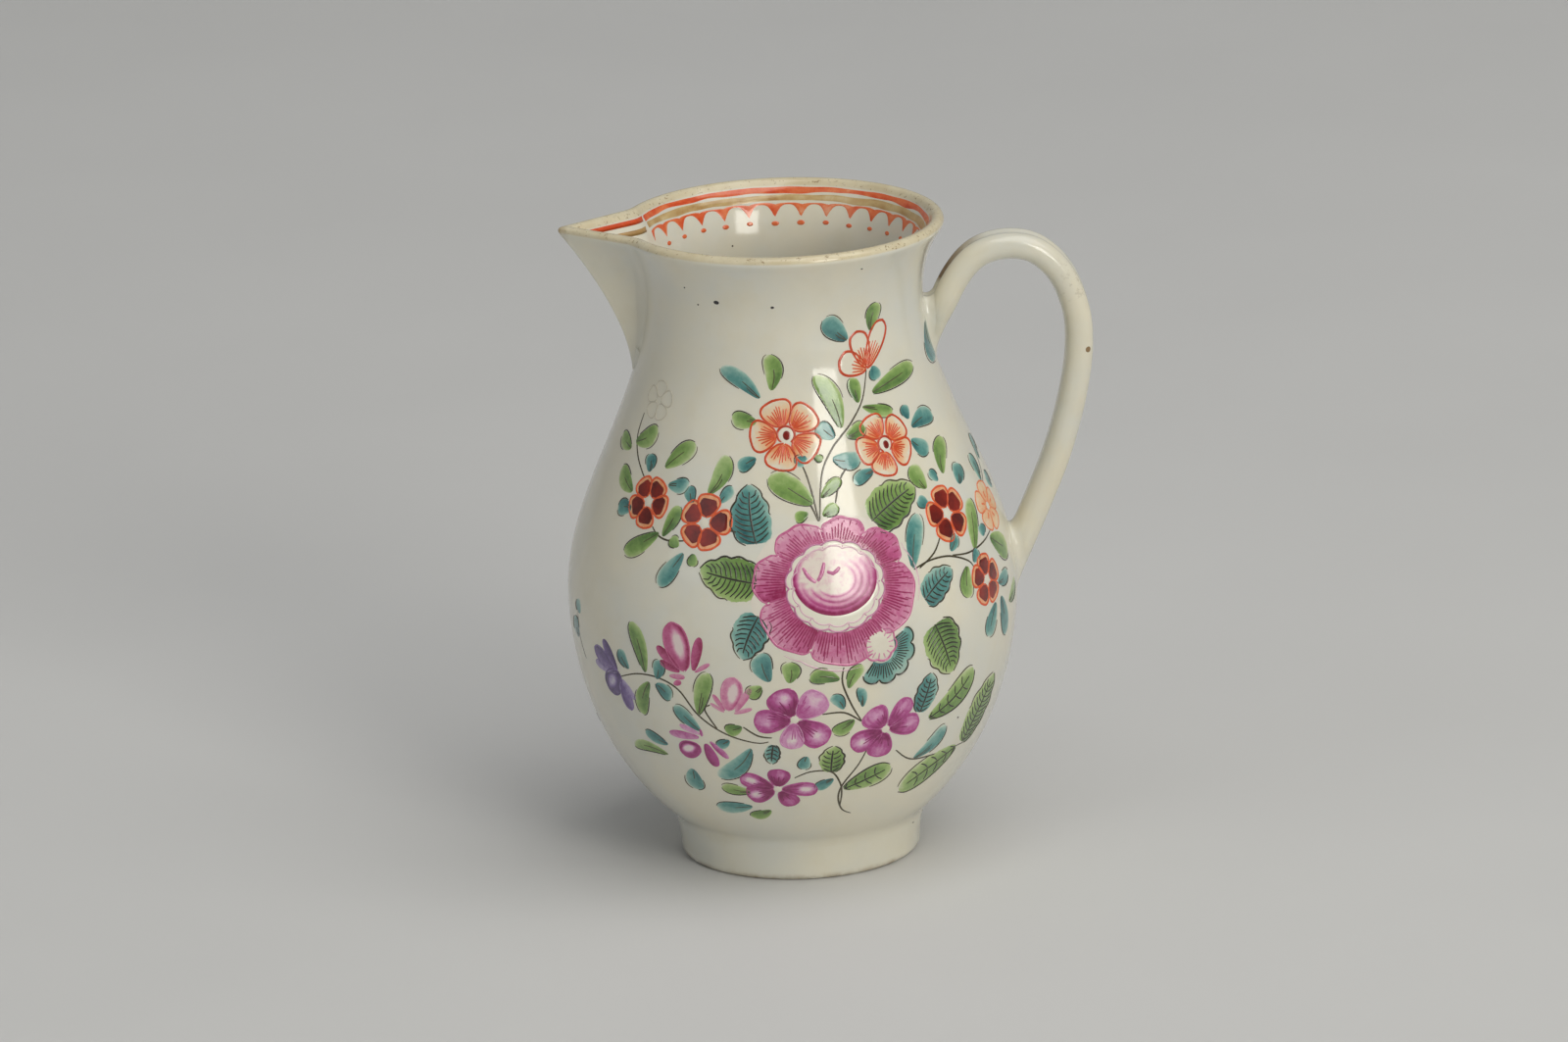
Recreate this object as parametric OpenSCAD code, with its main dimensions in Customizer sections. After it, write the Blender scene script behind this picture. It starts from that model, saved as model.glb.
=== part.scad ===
// Small pear-shaped porcelain cream jug with a pointed "sparrow beak" spout,
// a grooved strap handle and a turned foot ring, as a potter assembles it:
// four clay pieces held together by beads of luting slip.
// Millimetres. +Z up, origin on the table under the body's axis,
// beak towards -X, handle towards +X. The jug is symmetric about the XZ plane.

/* [Body] */
// Height of the rim above the table
jug_h = 90; // [88:0.5:92]
// Largest radius of the belly
belly_r = 31; // [30:0.25:32]
// Height of the widest point of the belly
belly_z = 38; // [37:0.5:39]
// Semi-height of the half ellipse that shapes the body below the belly
lower_a = 38.6; // [38.4:0.1:39.2]
// Smallest radius of the neck
neck_r = 19.2; // [18.8:0.1:19.6]
// Height of the narrowest point of the neck
neck_z = 79; // [78.5:0.5:79.5]
// Radius of the rim over the rounded lip
rim_r = 22.3; // [22:0.1:22.6]
// Wall thickness at the lip
lip_wall = 1.8; // [1.6:0.1:2]
// Wall thickness at the bottom of the body
base_wall = 2.6; // [2.4:0.1:3]

/* [Foot ring] */
// Height of the flat underside of the body above the table
base_z = 4.2; // [4:0.1:4.4]
// Inside height of the floor of the jug above the table
floor_z = 7; // [6.8:0.1:7.4]
// Outer radius of the foot ring at its top
foot_top_r = 17.2; // [17:0.1:17.4]
// Outer radius of the foot ring near the table
foot_r = 16.5; // [16.3:0.1:16.7]
// Inner radius of the foot ring at its top
foot_in_r = 13.6; // [13.4:0.1:13.8]

/* [Beak] */
// Distance of the beak's tip from the axis
beak_reach = 31.2; // [30:0.2:32]
// Half of the beak's width where it meets the rim
beak_half_w = 9.3; // [8.8:0.1:9.6]
// Height at which the beak's keel runs out into the neck
beak_low_z = 69; // [68:0.5:70]
// Wall thickness of the beak at its keel, measured level
beak_wall = 2.6; // [2.4:0.1:2.8]
// Width of the beak's channel where it leaves the inside of the rim
channel_w = 14.6; // [14:0.1:15]
// Radius that rounds the keel
keel_r = 0.8; // [0.6:0.1:1]

/* [Handle] */
// Width of the strap, across the jug
strap_w = 5.8; // [5.4:0.2:6.4]
// Thickness of the strap, in the plane of the loop
strap_t = 4; // [3.8:0.1:4.2]
// Depth of the groove down the strap's outer face
groove_depth = 0.6; // [0.4:0.1:0.7]

/* [Luting slip] */
// Width of the slip bead beside the beak
beak_slip = 1; // [0.8:0.1:1.2]
// Thickness of the slip collar round the handle's ends
handle_slip = 0.7; // [0.5:0.1:0.9]
// Width of the slip bead above the foot ring
foot_slip = 0.9; // [0.6:0.1:1]

/* [Hidden] */

round_fn = 200;
wall_steps = 40;
lip_steps = 10;
flare_power = 2.3;
flare_drop = 1.4;               // from the top of the lip to the end of the flare
lip_bulge = 0.15;               // how far the lip's curve swells past the end of the flare
flare_end_z = jug_h - flare_drop;
flare_end_r = rim_r - lip_bulge;
slope_step = 0.01;              // step used to measure the slope of a curve
min_step = 0.2;                 // points of the inner wall closer than this to the floor are dropped
foot_edge = 0.7;                // radius on the foot ring's outer bottom edge
foot_bevel = 0.4;               // each of the two bevels inside the foot ring
foot_steps = 6;

keel_power = 1.6;
seam_low_share = 0.35;          // share of the beak's half width that comes on early, low on the neck
seam_high_power = 3.6;          // how late the rest of the width comes on
keel_share = 0.5;               // largest share of the half width that the keel's rounding takes
min_depth = 0.1;                // least distance of the keel's centre, or half width, in a level section
min_run = 0.8;                  // least depth of the channel's V below the inside of the neck
blank_rise = 0.2;               // the blank starts this far above the height where its keel leaves the neck
beak_steps = 10;
nose_steps = 4;
root_x = 10;                    // the beak's blank and its channel reach in to this distance from the axis
channel_low_z = beak_low_z + 2.5; // height at which the channel leaves the inside of the neck
over = 1;                       // how far a cutter passes the face it cuts

// Centreline of the strap in the XZ plane, from the tail on the neck to the end on the belly
strap_points = [[19.4, 69.5], [21.2, 75.4], [23.6, 80.5], [26.7, 83.8], [30.8, 84.9],
                [34.8, 84], [38.2, 80.6], [40.2, 75.2], [40.4, 69.4], [39.2, 62.4],
                [37, 55], [34.2, 48.2], [31.4, 42], [29.6, 38]];
strap_substeps = 3;
section_steps = 18;
squareness = 0.85;              // power that squares off the strap's oval section
groove_share = 0.16;            // width of the groove as a share of the strap's
tail_share = 0.45;              // size of the strap's section at the end of the tail
tail_length = 0.12;             // share of the strap over which the tail tapers
slip_rings = 8;
slip_edge = 0.12;               // thickness left at the collar's thin end
slip_bury = 0.4;                // how far a collar or bead starts inside the body it sits on
upper_collar = [0.4, 2];        // the upper collar's ends, in points along the strap
lower_collar_length = 1.5;      // the lower collar's length, in points along the strap
bead_rise = 0.65;               // height of the foot bead on the body, as a share of its drop on the ring
bead_low = 3;                   // the beak's beads start this far above the end of its keel

porcelain = [0.86, 0.85, 0.78];
raw_slip = [0.8, 0.79, 0.7];

// ---- Profile of the body: radius and wall at a height ----

function ease(t) = t * t * (3 - 2 * t);
function lower_r(z) = belly_r * sqrt(max(0, 1 - pow((belly_z - z) / lower_a, 2)));
function shoulder_r(z) = belly_r - (belly_r - neck_r) * ease((z - belly_z) / (neck_z - belly_z));
function flare_r(z) = let (t = (z - neck_z) / (flare_end_z - neck_z))
    neck_r + (flare_end_r - neck_r) * pow(t, flare_power);
function outer_r(z) = z < belly_z ? lower_r(z) : z < neck_z ? shoulder_r(z) : flare_r(z);
function lower_z(r) = belly_z - lower_a * sqrt(1 - pow(r / belly_r, 2));

function wall_at(z) = base_wall + (lip_wall - base_wall) * (z - base_z) / (flare_end_z - base_z);
function slope_at(z) = (outer_r(z) - outer_r(z - slope_step)) / slope_step;
function outward(z) = let (s = slope_at(z)) [1, -s] / sqrt(1 + s * s);
function outer_point(z) = [outer_r(z), z];
function inner_point(z) = outer_point(z) - wall_at(z) * outward(z);

function outer_wall(low, high) =
    [for (i = [0 : wall_steps]) outer_point(low + (high - low) * i / wall_steps)];
function inner_wall() = [for (i = [wall_steps : -1 : 0])
    let (p = inner_point(base_z + (flare_end_z - base_z) * i / wall_steps))
    if (p[1] > floor_z + min_step) p];

lip_centre = (outer_point(flare_end_z) + inner_point(flare_end_z)) / 2;
lip_start = atan2(outward(flare_end_z)[1], outward(flare_end_z)[0]);
function lip(from, to) = [for (i = [0 : lip_steps])
    let (a = from + (to - from) * i / lip_steps)
    lip_centre + lip_wall / 2 * [cos(a), sin(a)]];

module filled_body() {
    rotate_extrude($fn = round_fn)
        polygon(concat([[0, base_z]], outer_wall(base_z, flare_end_z),
                       lip(lip_start, 90), [[0, lip_centre[1] + lip_wall / 2]]));
}

module body_shell() {
    rotate_extrude($fn = round_fn)
        polygon(concat([[0, base_z]], outer_wall(base_z, flare_end_z),
                       lip(lip_start, lip_start + 180), inner_wall(), [[0, floor_z]]));
}

// ---- Beak: a V-shaped blank, cut out to a V-shaped channel ----

function beak_t(z, low) = max(0, (z - low) / (jug_h - low));
function keel_x(z) = outer_r(beak_low_z)
    + (beak_reach - outer_r(beak_low_z)) * pow(beak_t(z, beak_low_z), keel_power);
function widening(t) = seam_low_share * sqrt(t) + (1 - seam_low_share) * pow(t, seam_high_power);
function seam_half(z) = beak_half_w * widening(beak_t(z, beak_low_z));
function seam_r(z) = z > flare_end_z ? rim_r : outer_r(z);
function seam_x(z) = sqrt(pow(seam_r(z), 2) - pow(seam_half(z), 2));

// Level section of the blank: a V with a rounded nose, whose arms pass through the seam and run on
// inside the body
function nose_r(z) = min(keel_r, seam_half(z) * keel_share);
function nose_x(z) = keel_x(z) - nose_r(z);
function arm_angle(z) = let (dx = max(min_depth, nose_x(z) - seam_x(z)), dy = seam_half(z))
    atan(dy / dx) - asin(nose_r(z) / norm([dx, dy]));
function arm_y(z, x) = seam_half(z) + (seam_x(z) - x) * tan(arm_angle(z));
function beak_section(z) = let (a = arm_angle(z))
    concat([[-root_x, -arm_y(z, root_x)], [-root_x, arm_y(z, root_x)]],
           [for (i = [0 : nose_steps]) let (b = (90 - a) * (1 - 2 * i / nose_steps))
               [-(nose_x(z) + nose_r(z) * cos(b)), nose_r(z) * sin(b)]]);

// Level section of the channel: a plain V, narrower than the blank by its walls
function channel_x(z) = keel_x(z) - beak_wall;
function channel_half(z) = channel_w / 2 * widening(beak_t(z, channel_low_z)) + min_depth;
function channel_section(z) =
    let (inner_x = sqrt(pow(seam_r(z) - lip_wall, 2) - pow(channel_half(z), 2)),
         slope = channel_half(z) / max(min_run, channel_x(z) - inner_x),
         root_y = slope * (channel_x(z) - root_x))
    [[-root_x, -root_y], [-root_x, root_y], [-channel_x(z), 0]];

// Solid through level sections that all have the same number of points
module stack(sections, heights) {
    n = len(sections[0]);
    last = len(sections) - 1;
    points = [for (i = [0 : last]) for (p = sections[i]) [p[0], p[1], heights[i]]];
    sides = [for (i = [0 : last - 1]) for (j = [0 : n - 1]) let (k = (j + 1) % n)
        each [[i * n + j, (i + 1) * n + j, (i + 1) * n + k], [i * n + j, (i + 1) * n + k, i * n + k]]];
    caps = [[for (j = [0 : n - 1]) j], [for (j = [n - 1 : -1 : 0]) last * n + j]];
    polyhedron(points, concat(sides, caps), convexity = 4);
}

module beak_blank() {
    low = beak_low_z + blank_rise;
    levels = [for (i = [0 : beak_steps]) low + (jug_h - low) * i / beak_steps];
    stack([for (z = levels) beak_section(z)], levels);
}

module channel() {
    low = channel_low_z + blank_rise;
    levels = concat([for (i = [0 : beak_steps]) low + (jug_h - low) * i / beak_steps], [jug_h + over]);
    stack([for (z = levels) channel_section(min(z, jug_h))], levels);
}

// ---- Handle: a grooved strap swept along a smooth line ----

function spline(a, b, c, d, t) = 0.5 * (2 * b + (c - a) * t + (2 * a - 5 * b + 4 * c - d) * t * t
    + (3 * b - a - 3 * c + d) * t * t * t);
function line_at(p, u) = let (n = len(p) - 1, i = min(floor(u), n - 1), t = u - i)
    spline(p[max(i - 1, 0)], p[i], p[i + 1], p[min(i + 2, n)], t);
function direction_at(p, u) =
    let (v = line_at(p, min(u + slope_step, len(p) - 1)) - line_at(p, max(u - slope_step, 0)))
    v / norm(v);

strap_end = len(strap_points) - 1;
function strap_size(u) = let (s = u / strap_end)
    s < tail_length ? tail_share + (1 - tail_share) * ease(s / tail_length) : 1;

// Section in the strap's own axes: across the jug, and out of the loop. grow thickens it all round.
function section(size, grow) = [for (k = [0 : section_steps - 1])
    let (a = 360 * k / section_steps, c = cos(a), s = sin(a),
         y = (strap_w / 2 * size + grow) * sign(c) * pow(abs(c), squareness),
         o = (strap_t / 2 * size + grow) * sign(s) * pow(abs(s), squareness),
         dip = s > 0 ? groove_depth * size * exp(-pow(y / (strap_w * groove_share), 2)) : 0)
    [y, o - dip]];

function ring(u, grow) =
    let (p = line_at(strap_points, u), d = direction_at(strap_points, u), out = [-d[1], d[0]])
    [for (q = section(strap_size(u), grow)) [p[0] + out[0] * q[1], q[0], p[1] + out[1] * q[1]]];

module sweep(rings) {
    n = len(rings[0]);
    last = len(rings) - 1;
    points = [for (r = rings) each r];
    sides = [for (i = [0 : last - 1]) for (j = [0 : n - 1]) let (k = (j + 1) % n)
        each [[i * n + j, (i + 1) * n + j, (i + 1) * n + k], [i * n + j, (i + 1) * n + k, i * n + k]]];
    caps = [[for (j = [0 : n - 1]) j], [for (j = [n - 1 : -1 : 0]) last * n + j]];
    polyhedron(points, concat(sides, caps), convexity = 6);
}

module strap() {
    sweep([for (i = [0 : strap_end * strap_substeps]) ring(i / strap_substeps, 0)]);
}

// Collar of slip round the strap between two places on its line, thinning towards thin_end
module collar(low, high, thin_end) {
    sweep([for (i = [0 : slip_rings])
        let (u = low + (high - low) * i / slip_rings)
        ring(u, handle_slip * pow(abs(u - thin_end) / (high - low), 2) + slip_edge)]);
}

// ---- The pieces ----

module body() {
    color(porcelain) difference() {
        body_shell();
        channel();
    }
}

module foot_ring() {
    join_z = lower_z(foot_top_r);
    seat = [for (i = [0 : foot_steps]) outer_point(base_z + (join_z - base_z) * i / foot_steps)];
    edge = [for (i = [0 : foot_steps - 1]) let (a = -90 * i / (foot_steps - 1))
        [foot_r - foot_edge + foot_edge * cos(a), foot_edge + foot_edge * sin(a)]];
    bevel = [[foot_in_r + 2 * foot_bevel, 0], [foot_in_r + foot_bevel, foot_bevel]];
    color(porcelain) rotate_extrude($fn = round_fn)
        polygon(concat([[foot_in_r, base_z]], seat, edge, bevel));
}

module beak() {
    color(porcelain) difference() {
        beak_blank();
        filled_body();
        channel();
    }
}

module handle() {
    color(porcelain) difference() {
        strap();
        filled_body();
    }
}

// Concave bead in the corner between the foot ring and the underside of the belly
module foot_slip_bead() {
    join_z = lower_z(foot_top_r);
    corner = [foot_top_r, join_z];
    ring_slope = (foot_top_r - foot_r) / (join_z - foot_edge);
    on_body = outer_point(join_z + foot_slip * bead_rise);
    on_ring = corner - foot_slip * [ring_slope, 1];
    curve = [for (i = [0 : foot_steps]) let (t = i / foot_steps)
        on_body * (1 - t) * (1 - t) + corner * 2 * t * (1 - t) + on_ring * t * t];
    color(raw_slip) rotate_extrude($fn = round_fn)
        polygon(concat([corner], curve));
}

// Bead of slip in the corner between one face of the beak and the neck: side is 1 or -1
module beak_seam(side) {
    low = beak_low_z + bead_low;
    levels = [for (i = [0 : beak_steps]) low + (flare_end_z - low) * i / beak_steps];
    sections = [for (z = levels)
        let (r = outer_r(z), a = arm_angle(z), corner_a = asin(seam_half(z) / r),
             body_a = corner_a + beak_slip / r * 180 / PI,
             deep = r - slip_bury,
             corner = [-deep * cos(corner_a), side * (deep * sin(corner_a) - slip_bury / 2)],
             on_body = [-r * cos(body_a), side * r * sin(body_a)],
             on_beak = [-seam_x(z) - beak_slip * cos(a), side * (seam_half(z) - beak_slip * sin(a))])
        side > 0 ? [corner, on_body, on_beak] : [corner, on_beak, on_body]];
    stack(sections, levels);
}

module beak_slip_seam() {
    color(raw_slip) difference() {
        union() {
            beak_seam(1);
            beak_seam(-1);
        }
        filled_body();
        beak_blank();
    }
}

module upper_handle_slip() {
    color(raw_slip) difference() {
        collar(upper_collar[0], upper_collar[1], upper_collar[1]);
        strap();
        filled_body();
    }
}

module lower_handle_slip() {
    low = strap_end - slip_bury - lower_collar_length;
    color(raw_slip) difference() {
        collar(low, low + lower_collar_length, low);
        strap();
        filled_body();
    }
}

body();
foot_ring();
beak();
handle();
foot_slip_bead();
beak_slip_seam();
upper_handle_slip();
lower_handle_slip();
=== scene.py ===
"""Porcelain cream jug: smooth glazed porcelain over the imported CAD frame, with its overglaze
enamel flowers laid on as thin raised colour. Shapes are worked out in millimetres and made in metres."""
import math
import random

import bmesh
import bpy
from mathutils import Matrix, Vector, noise


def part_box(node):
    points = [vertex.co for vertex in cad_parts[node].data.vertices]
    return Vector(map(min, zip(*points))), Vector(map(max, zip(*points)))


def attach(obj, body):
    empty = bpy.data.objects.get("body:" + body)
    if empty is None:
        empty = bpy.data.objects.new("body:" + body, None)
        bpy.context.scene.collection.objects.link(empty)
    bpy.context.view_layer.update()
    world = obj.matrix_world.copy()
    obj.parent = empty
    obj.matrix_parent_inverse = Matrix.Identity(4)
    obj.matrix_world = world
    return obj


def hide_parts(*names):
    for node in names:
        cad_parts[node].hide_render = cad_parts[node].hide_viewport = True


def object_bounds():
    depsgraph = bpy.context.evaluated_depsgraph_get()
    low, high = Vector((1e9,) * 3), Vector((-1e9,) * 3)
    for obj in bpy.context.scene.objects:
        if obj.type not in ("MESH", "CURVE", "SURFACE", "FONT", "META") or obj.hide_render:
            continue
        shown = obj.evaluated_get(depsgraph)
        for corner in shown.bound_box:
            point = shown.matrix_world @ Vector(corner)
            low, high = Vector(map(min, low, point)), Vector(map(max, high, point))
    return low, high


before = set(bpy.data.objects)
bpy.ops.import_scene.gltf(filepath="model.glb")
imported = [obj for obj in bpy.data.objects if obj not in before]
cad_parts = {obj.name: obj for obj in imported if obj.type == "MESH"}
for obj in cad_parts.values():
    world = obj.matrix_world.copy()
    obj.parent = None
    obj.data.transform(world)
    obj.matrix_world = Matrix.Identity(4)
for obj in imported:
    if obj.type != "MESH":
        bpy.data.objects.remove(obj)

cad_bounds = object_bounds()
M = 0.001                       # one millimetre, in Blender's metres
TAU = 2 * math.pi


def box_mm(node):
    """A CAD node's lowest and highest corners, in millimetres."""
    return [[c / M for c in corner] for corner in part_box(node)]


# ---- Camera: a long lens, looking down a little, and turned slightly on its own axis ----

CAMERA_DISTANCE = 1421.3
CAMERA_ELEVATION = math.radians(16.4)
CAMERA_AZIMUTH = math.radians(-2.3)
CAMERA_ROLL = math.radians(-1.92)
CAMERA_LENS = 236.9
CAMERA_TARGET = Vector((-0.91, 0, 46.75))


def make_camera():
    """Made first. The roll is about the camera's own line of sight."""
    data = bpy.data.cameras.new("camera")
    data.lens = CAMERA_LENS
    data.sensor_width = 36
    data.clip_start = 0.1
    data.clip_end = 20
    camera = bpy.data.objects.new("camera", data)
    level = math.cos(CAMERA_ELEVATION)
    back = Vector((math.sin(CAMERA_AZIMUTH) * level, -math.cos(CAMERA_AZIMUTH) * level,
                   math.sin(CAMERA_ELEVATION)))
    camera.location = (CAMERA_TARGET + back * CAMERA_DISTANCE) * M
    camera.rotation_euler = (-back).to_track_quat("-Z", "Y").to_euler()
    camera.rotation_euler.rotate_axis("Z", CAMERA_ROLL)
    bpy.context.scene.collection.objects.link(camera)
    bpy.context.scene.camera = camera


make_camera()

# ---- The jug's form, in millimetres, from the frame's own boxes and a few proportions ----

BODY_LOW, BODY_HIGH = box_mm("body")
FOOT_HIGH = box_mm("foot_ring")[1]
BELLY_R = BODY_HIGH[1]
RIM_Z = BODY_HIGH[2]
BASE_Z = BODY_LOW[2]
FOOT_TOP_R = FOOT_HIGH[1]
BEAK_REACH = -box_mm("beak")[0][0]
STRAP_W = 2 * box_mm("handle")[1][1]

BELLY_Z = 38.0                  # height of the widest place
LOWER_A = 38.6                  # half height of the ellipse under it
NECK_R = 19.2
NECK_Z = 79.0
FLARE_POWER = 2.3
LIP_R = 0.9                     # radius of the rounding over the lip
FLARE_END_Z = RIM_Z - 1.42      # where the flare turns into the lip
FLARE_END_R = 22.15
BASE_WALL = 2.6                 # thickness of the wall at the base and at the lip
LIP_WALL = 1.8
FLOOR_Z = 7.0                   # height of the inside's floor


def outer_r(z):
    """Radius of the outside at a height: an ellipse, a long S-curve, and a flare."""
    if z < BELLY_Z:
        return BELLY_R * math.sqrt(max(0.0, 1 - ((BELLY_Z - z) / LOWER_A) ** 2))
    if z < NECK_Z:
        t = (z - BELLY_Z) / (NECK_Z - BELLY_Z)
        return BELLY_R - (BELLY_R - NECK_R) * t * t * (3 - 2 * t)
    t = (z - NECK_Z) / (FLARE_END_Z - NECK_Z)
    return NECK_R + (FLARE_END_R - NECK_R) * t ** FLARE_POWER


SLOPE_STEP = 0.02


def outer_slope(z):
    """How fast the outside's radius changes with height."""
    return (outer_r(z + SLOPE_STEP) - outer_r(z - SLOPE_STEP)) / (2 * SLOPE_STEP)


def outer_normal(z):
    """Outward normal as (radial, up)."""
    slope = outer_slope(min(z, FLARE_END_Z - SLOPE_STEP))
    size = math.hypot(1, slope)
    return 1 / size, -slope / size


def inner_point(z):
    """The point of the inside wall behind the outside at height z, as (radius, height)."""
    wall = BASE_WALL + (LIP_WALL - BASE_WALL) * (z - BASE_Z) / (FLARE_END_Z - BASE_Z)
    nr, nz = outer_normal(z)
    return outer_r(z) - wall * nr, z - wall * nz


ARC_STEP = 0.25
ARC_LOW = BASE_Z
ARC = [0.0]                     # distance along the outside from ARC_LOW, at each step up
while ARC_LOW + ARC_STEP * len(ARC) < FLARE_END_Z + 1:
    arc_z = ARC_LOW + ARC_STEP * (len(ARC) - 0.5)
    ARC.append(ARC[-1] + ARC_STEP * math.hypot(1, outer_slope(min(arc_z, FLARE_END_Z))))


def arc_at(z):
    """Distance along the outside to a height."""
    x = min(max((z - ARC_LOW) / ARC_STEP, 0), len(ARC) - 1.001)
    i = int(x)
    return ARC[i] + (ARC[i + 1] - ARC[i]) * (x - i)


def height_at(arc):
    """The height at a distance along the outside."""
    low, high = 0, len(ARC) - 1
    while high - low > 1:
        mid = (low + high) // 2
        low, high = (mid, high) if ARC[mid] <= arc else (low, mid)
    return ARC_LOW + ARC_STEP * (low + (arc - ARC[low]) / (ARC[high] - ARC[low]))


def around(radius, angle, z):
    """A point at an angle measured from the front (-Y) towards the handle (+X)."""
    return Vector((radius * math.sin(angle), -radius * math.cos(angle), z))


# ---- The beak: a V in plan, whose seam with the neck and whose keel rise from one low point ----

BEAK_LOW_Z = 69.0               # height of the low point
BEAK_HALF_W = 9.3               # half width where it joins the lip
KEEL_POWER = 1.6                # how much the keel curves
BEAK_WALL = 2.6                 # thickness at the keel
CHANNEL_HALF_W = 7.3            # half width of the opening inside, and its low point
CHANNEL_LOW_Z = BEAK_LOW_Z + 2.5
FILLET = 1.3                    # reach of the slip that softens the seam
NOSE = 0.9                      # length of face that the rounding of the keel takes
SLIP_SHARE = 0.3                # a beak ring's q runs over the slip up to here
NOSE_SHARE = 0.85               # and round the keel from here on


def beak_rise(z, low):
    """How far up from the beak's low point a height is, as a share."""
    return max(0.0, (z - low) / (RIM_Z - low))


def widening(t):
    """The opening's half width at a share of the rise, as a share of its widest."""
    return 0.35 * math.sqrt(t) + 0.65 * t ** 3.6


def keel_x(z):
    """Reach of the beak's keel from the axis."""
    root = outer_r(BEAK_LOW_Z)
    return root + (BEAK_REACH - root) * beak_rise(z, BEAK_LOW_Z) ** KEEL_POWER


def bezier(a, b, c, t):
    """A place on a curve from a to c, pulled towards b."""
    return a * (1 - t) ** 2 + b * 2 * t * (1 - t) + c * t ** 2


def spline(a, b, c, d, t):
    """A place between b and c on a smooth curve through all four points."""
    return 0.5 * (2 * b + (c - a) * t + (2 * a - 5 * b + 4 * c - d) * t * t
                  + (3 * b - a - 3 * c + d) * t ** 3)


def build_profile():
    """Rings of the body from the underside, up the outside, over the lip and down the inside.
    Each is (radius, height, share of the wall from outside to inside, half width of the beak's seam)."""
    rings = []
    steps, lip_steps, floor_steps = 150, 14, 12
    for i in range(steps + 1):
        z = BASE_Z + (FLARE_END_Z - BASE_Z) * i / steps
        rings.append((outer_r(z), z, 0.0, BEAK_HALF_W * widening(beak_rise(z, BEAK_LOW_Z))))
    out_r, out_z = outer_r(FLARE_END_Z), FLARE_END_Z
    in_r, in_z = inner_point(FLARE_END_Z)
    mid_r, mid_z = (out_r + in_r) / 2, (out_z + in_z) / 2
    start = math.atan2(out_z - mid_z, out_r - mid_r)
    for i in range(1, lip_steps):
        a = start + math.pi * i / lip_steps
        share = (1 - math.cos(math.pi * i / lip_steps)) / 2
        z = mid_z + LIP_R * math.sin(a)
        half = BEAK_HALF_W * (1 - share) * widening(beak_rise(min(z, RIM_Z), BEAK_LOW_Z))
        half += (CHANNEL_HALF_W + 0.1) * share
        rings.append((mid_r + LIP_R * math.cos(a), z, share, half))
    for i in range(steps, -1, -1):
        z = BASE_Z + (FLARE_END_Z - BASE_Z) * i / steps
        r, z = inner_point(z)
        if z < FLOOR_Z + 3 or r < 1:
            break
        rings.append((r, z, 1.0, CHANNEL_HALF_W * widening(min(1.0, beak_rise(z, CHANNEL_LOW_Z)))))
    corner = Vector(rings[-1][:2])
    for i in range(1, floor_steps + 1):        # the inside curves into an almost flat floor
        at = bezier(corner, Vector((corner.x - 2.5, FLOOR_Z)), Vector((0.05, FLOOR_Z)), i / floor_steps)
        rings.append((at.x, at.y, 1.0, 0.0))
    return rings


RINGS = build_profile()


def seam_angle(ring):
    """Angle between the beak's middle and its seam with the neck."""
    r, half = ring[0], ring[3]
    return math.asin(min(0.99, half / r)) if half > 0.02 else 0.0


def beak_face(ring):
    """Where one face of the beak starts on the neck, and the keel that it runs to, in plan."""
    r, z, share = ring[:3]
    angle = seam_angle(ring)
    seam = Vector((-r * math.cos(angle), r * math.sin(angle)))
    keel = Vector((min(-keel_x(min(z, RIM_Z)) + BEAK_WALL * share ** 2, seam.x - 0.02), 0))
    return seam, keel


def fillet_of(ring):
    """Reach of the slip on this ring: nothing where the beak runs out."""
    seam, keel = beak_face(ring)
    return min(FILLET * min(1.0, ring[3] / 2.5), (keel - seam).length * 0.35)


def beak_plan(ring, q):
    """A point of a beak ring: q runs from 0 on the neck, over the slip, to 1 on the keel."""
    r, share = ring[0], ring[2]
    seam, keel = beak_face(ring)
    face = (keel - seam).normalized()
    fillet = fillet_of(ring)
    nose = min(NOSE, (keel - seam).length * 0.3) * (1 - 0.5 * share)
    face_start = seam + face * fillet
    face_end = keel - face * nose
    if q <= SLIP_SHARE:
        angle = seam_angle(ring) + fillet / r
        start = Vector((-r * math.cos(angle), r * math.sin(angle)))
        return bezier(start, seam / math.cos(fillet / r), face_start, q / SLIP_SHARE)
    if q <= NOSE_SHARE:
        return face_start.lerp(face_end, (q - SLIP_SHARE) / (NOSE_SHARE - SLIP_SHARE))
    tip = keel + Vector((-0.5 * nose * abs(face.x), 0)) * (1 - share)
    mirrored = Vector((face_end.x, -face_end.y))
    return bezier(face_end, tip, mirrored, (q - NOSE_SHARE) / (1 - NOSE_SHARE) * 0.5)


# ---- Mesh helpers ----

WELD = 0.004 * M                # points nearer than this are one point
CREASE = math.radians(50)       # faces that meet more steeply than this keep a crease


def new_object(name, verts, faces, material, density=None):
    """A piece from points in millimetres. density is an optional value at each vertex."""
    mesh = bpy.data.meshes.new(name)
    mesh.from_pydata([v * M for v in verts], [], faces)
    if density:
        layer = mesh.attributes.new("enamel_depth", "FLOAT", "POINT")
        layer.data.foreach_set("value", density)
    mesh.materials.append(material)
    piece = bpy.data.objects.new(name, mesh)
    bpy.context.scene.collection.objects.link(piece)
    for polygon in mesh.polygons:
        polygon.use_smooth = True
    return piece


def rework(piece, work):
    """Changes a piece's mesh with a function that takes it as a bmesh."""
    bm = bmesh.new()
    bm.from_mesh(piece.data)
    work(bm)
    bm.to_mesh(piece.data)
    bm.free()


def grid_faces(rows, cols, wrap=False, start=0):
    """Quads of a grid stored row by row. wrap joins the last column to the first."""
    faces = []
    for i in range(rows - 1):
        for j in range(cols if wrap else cols - 1):
            k = (j + 1) % cols
            faces.append((start + i * cols + j, start + i * cols + k,
                          start + (i + 1) * cols + k, start + (i + 1) * cols + j))
    return faces


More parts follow.
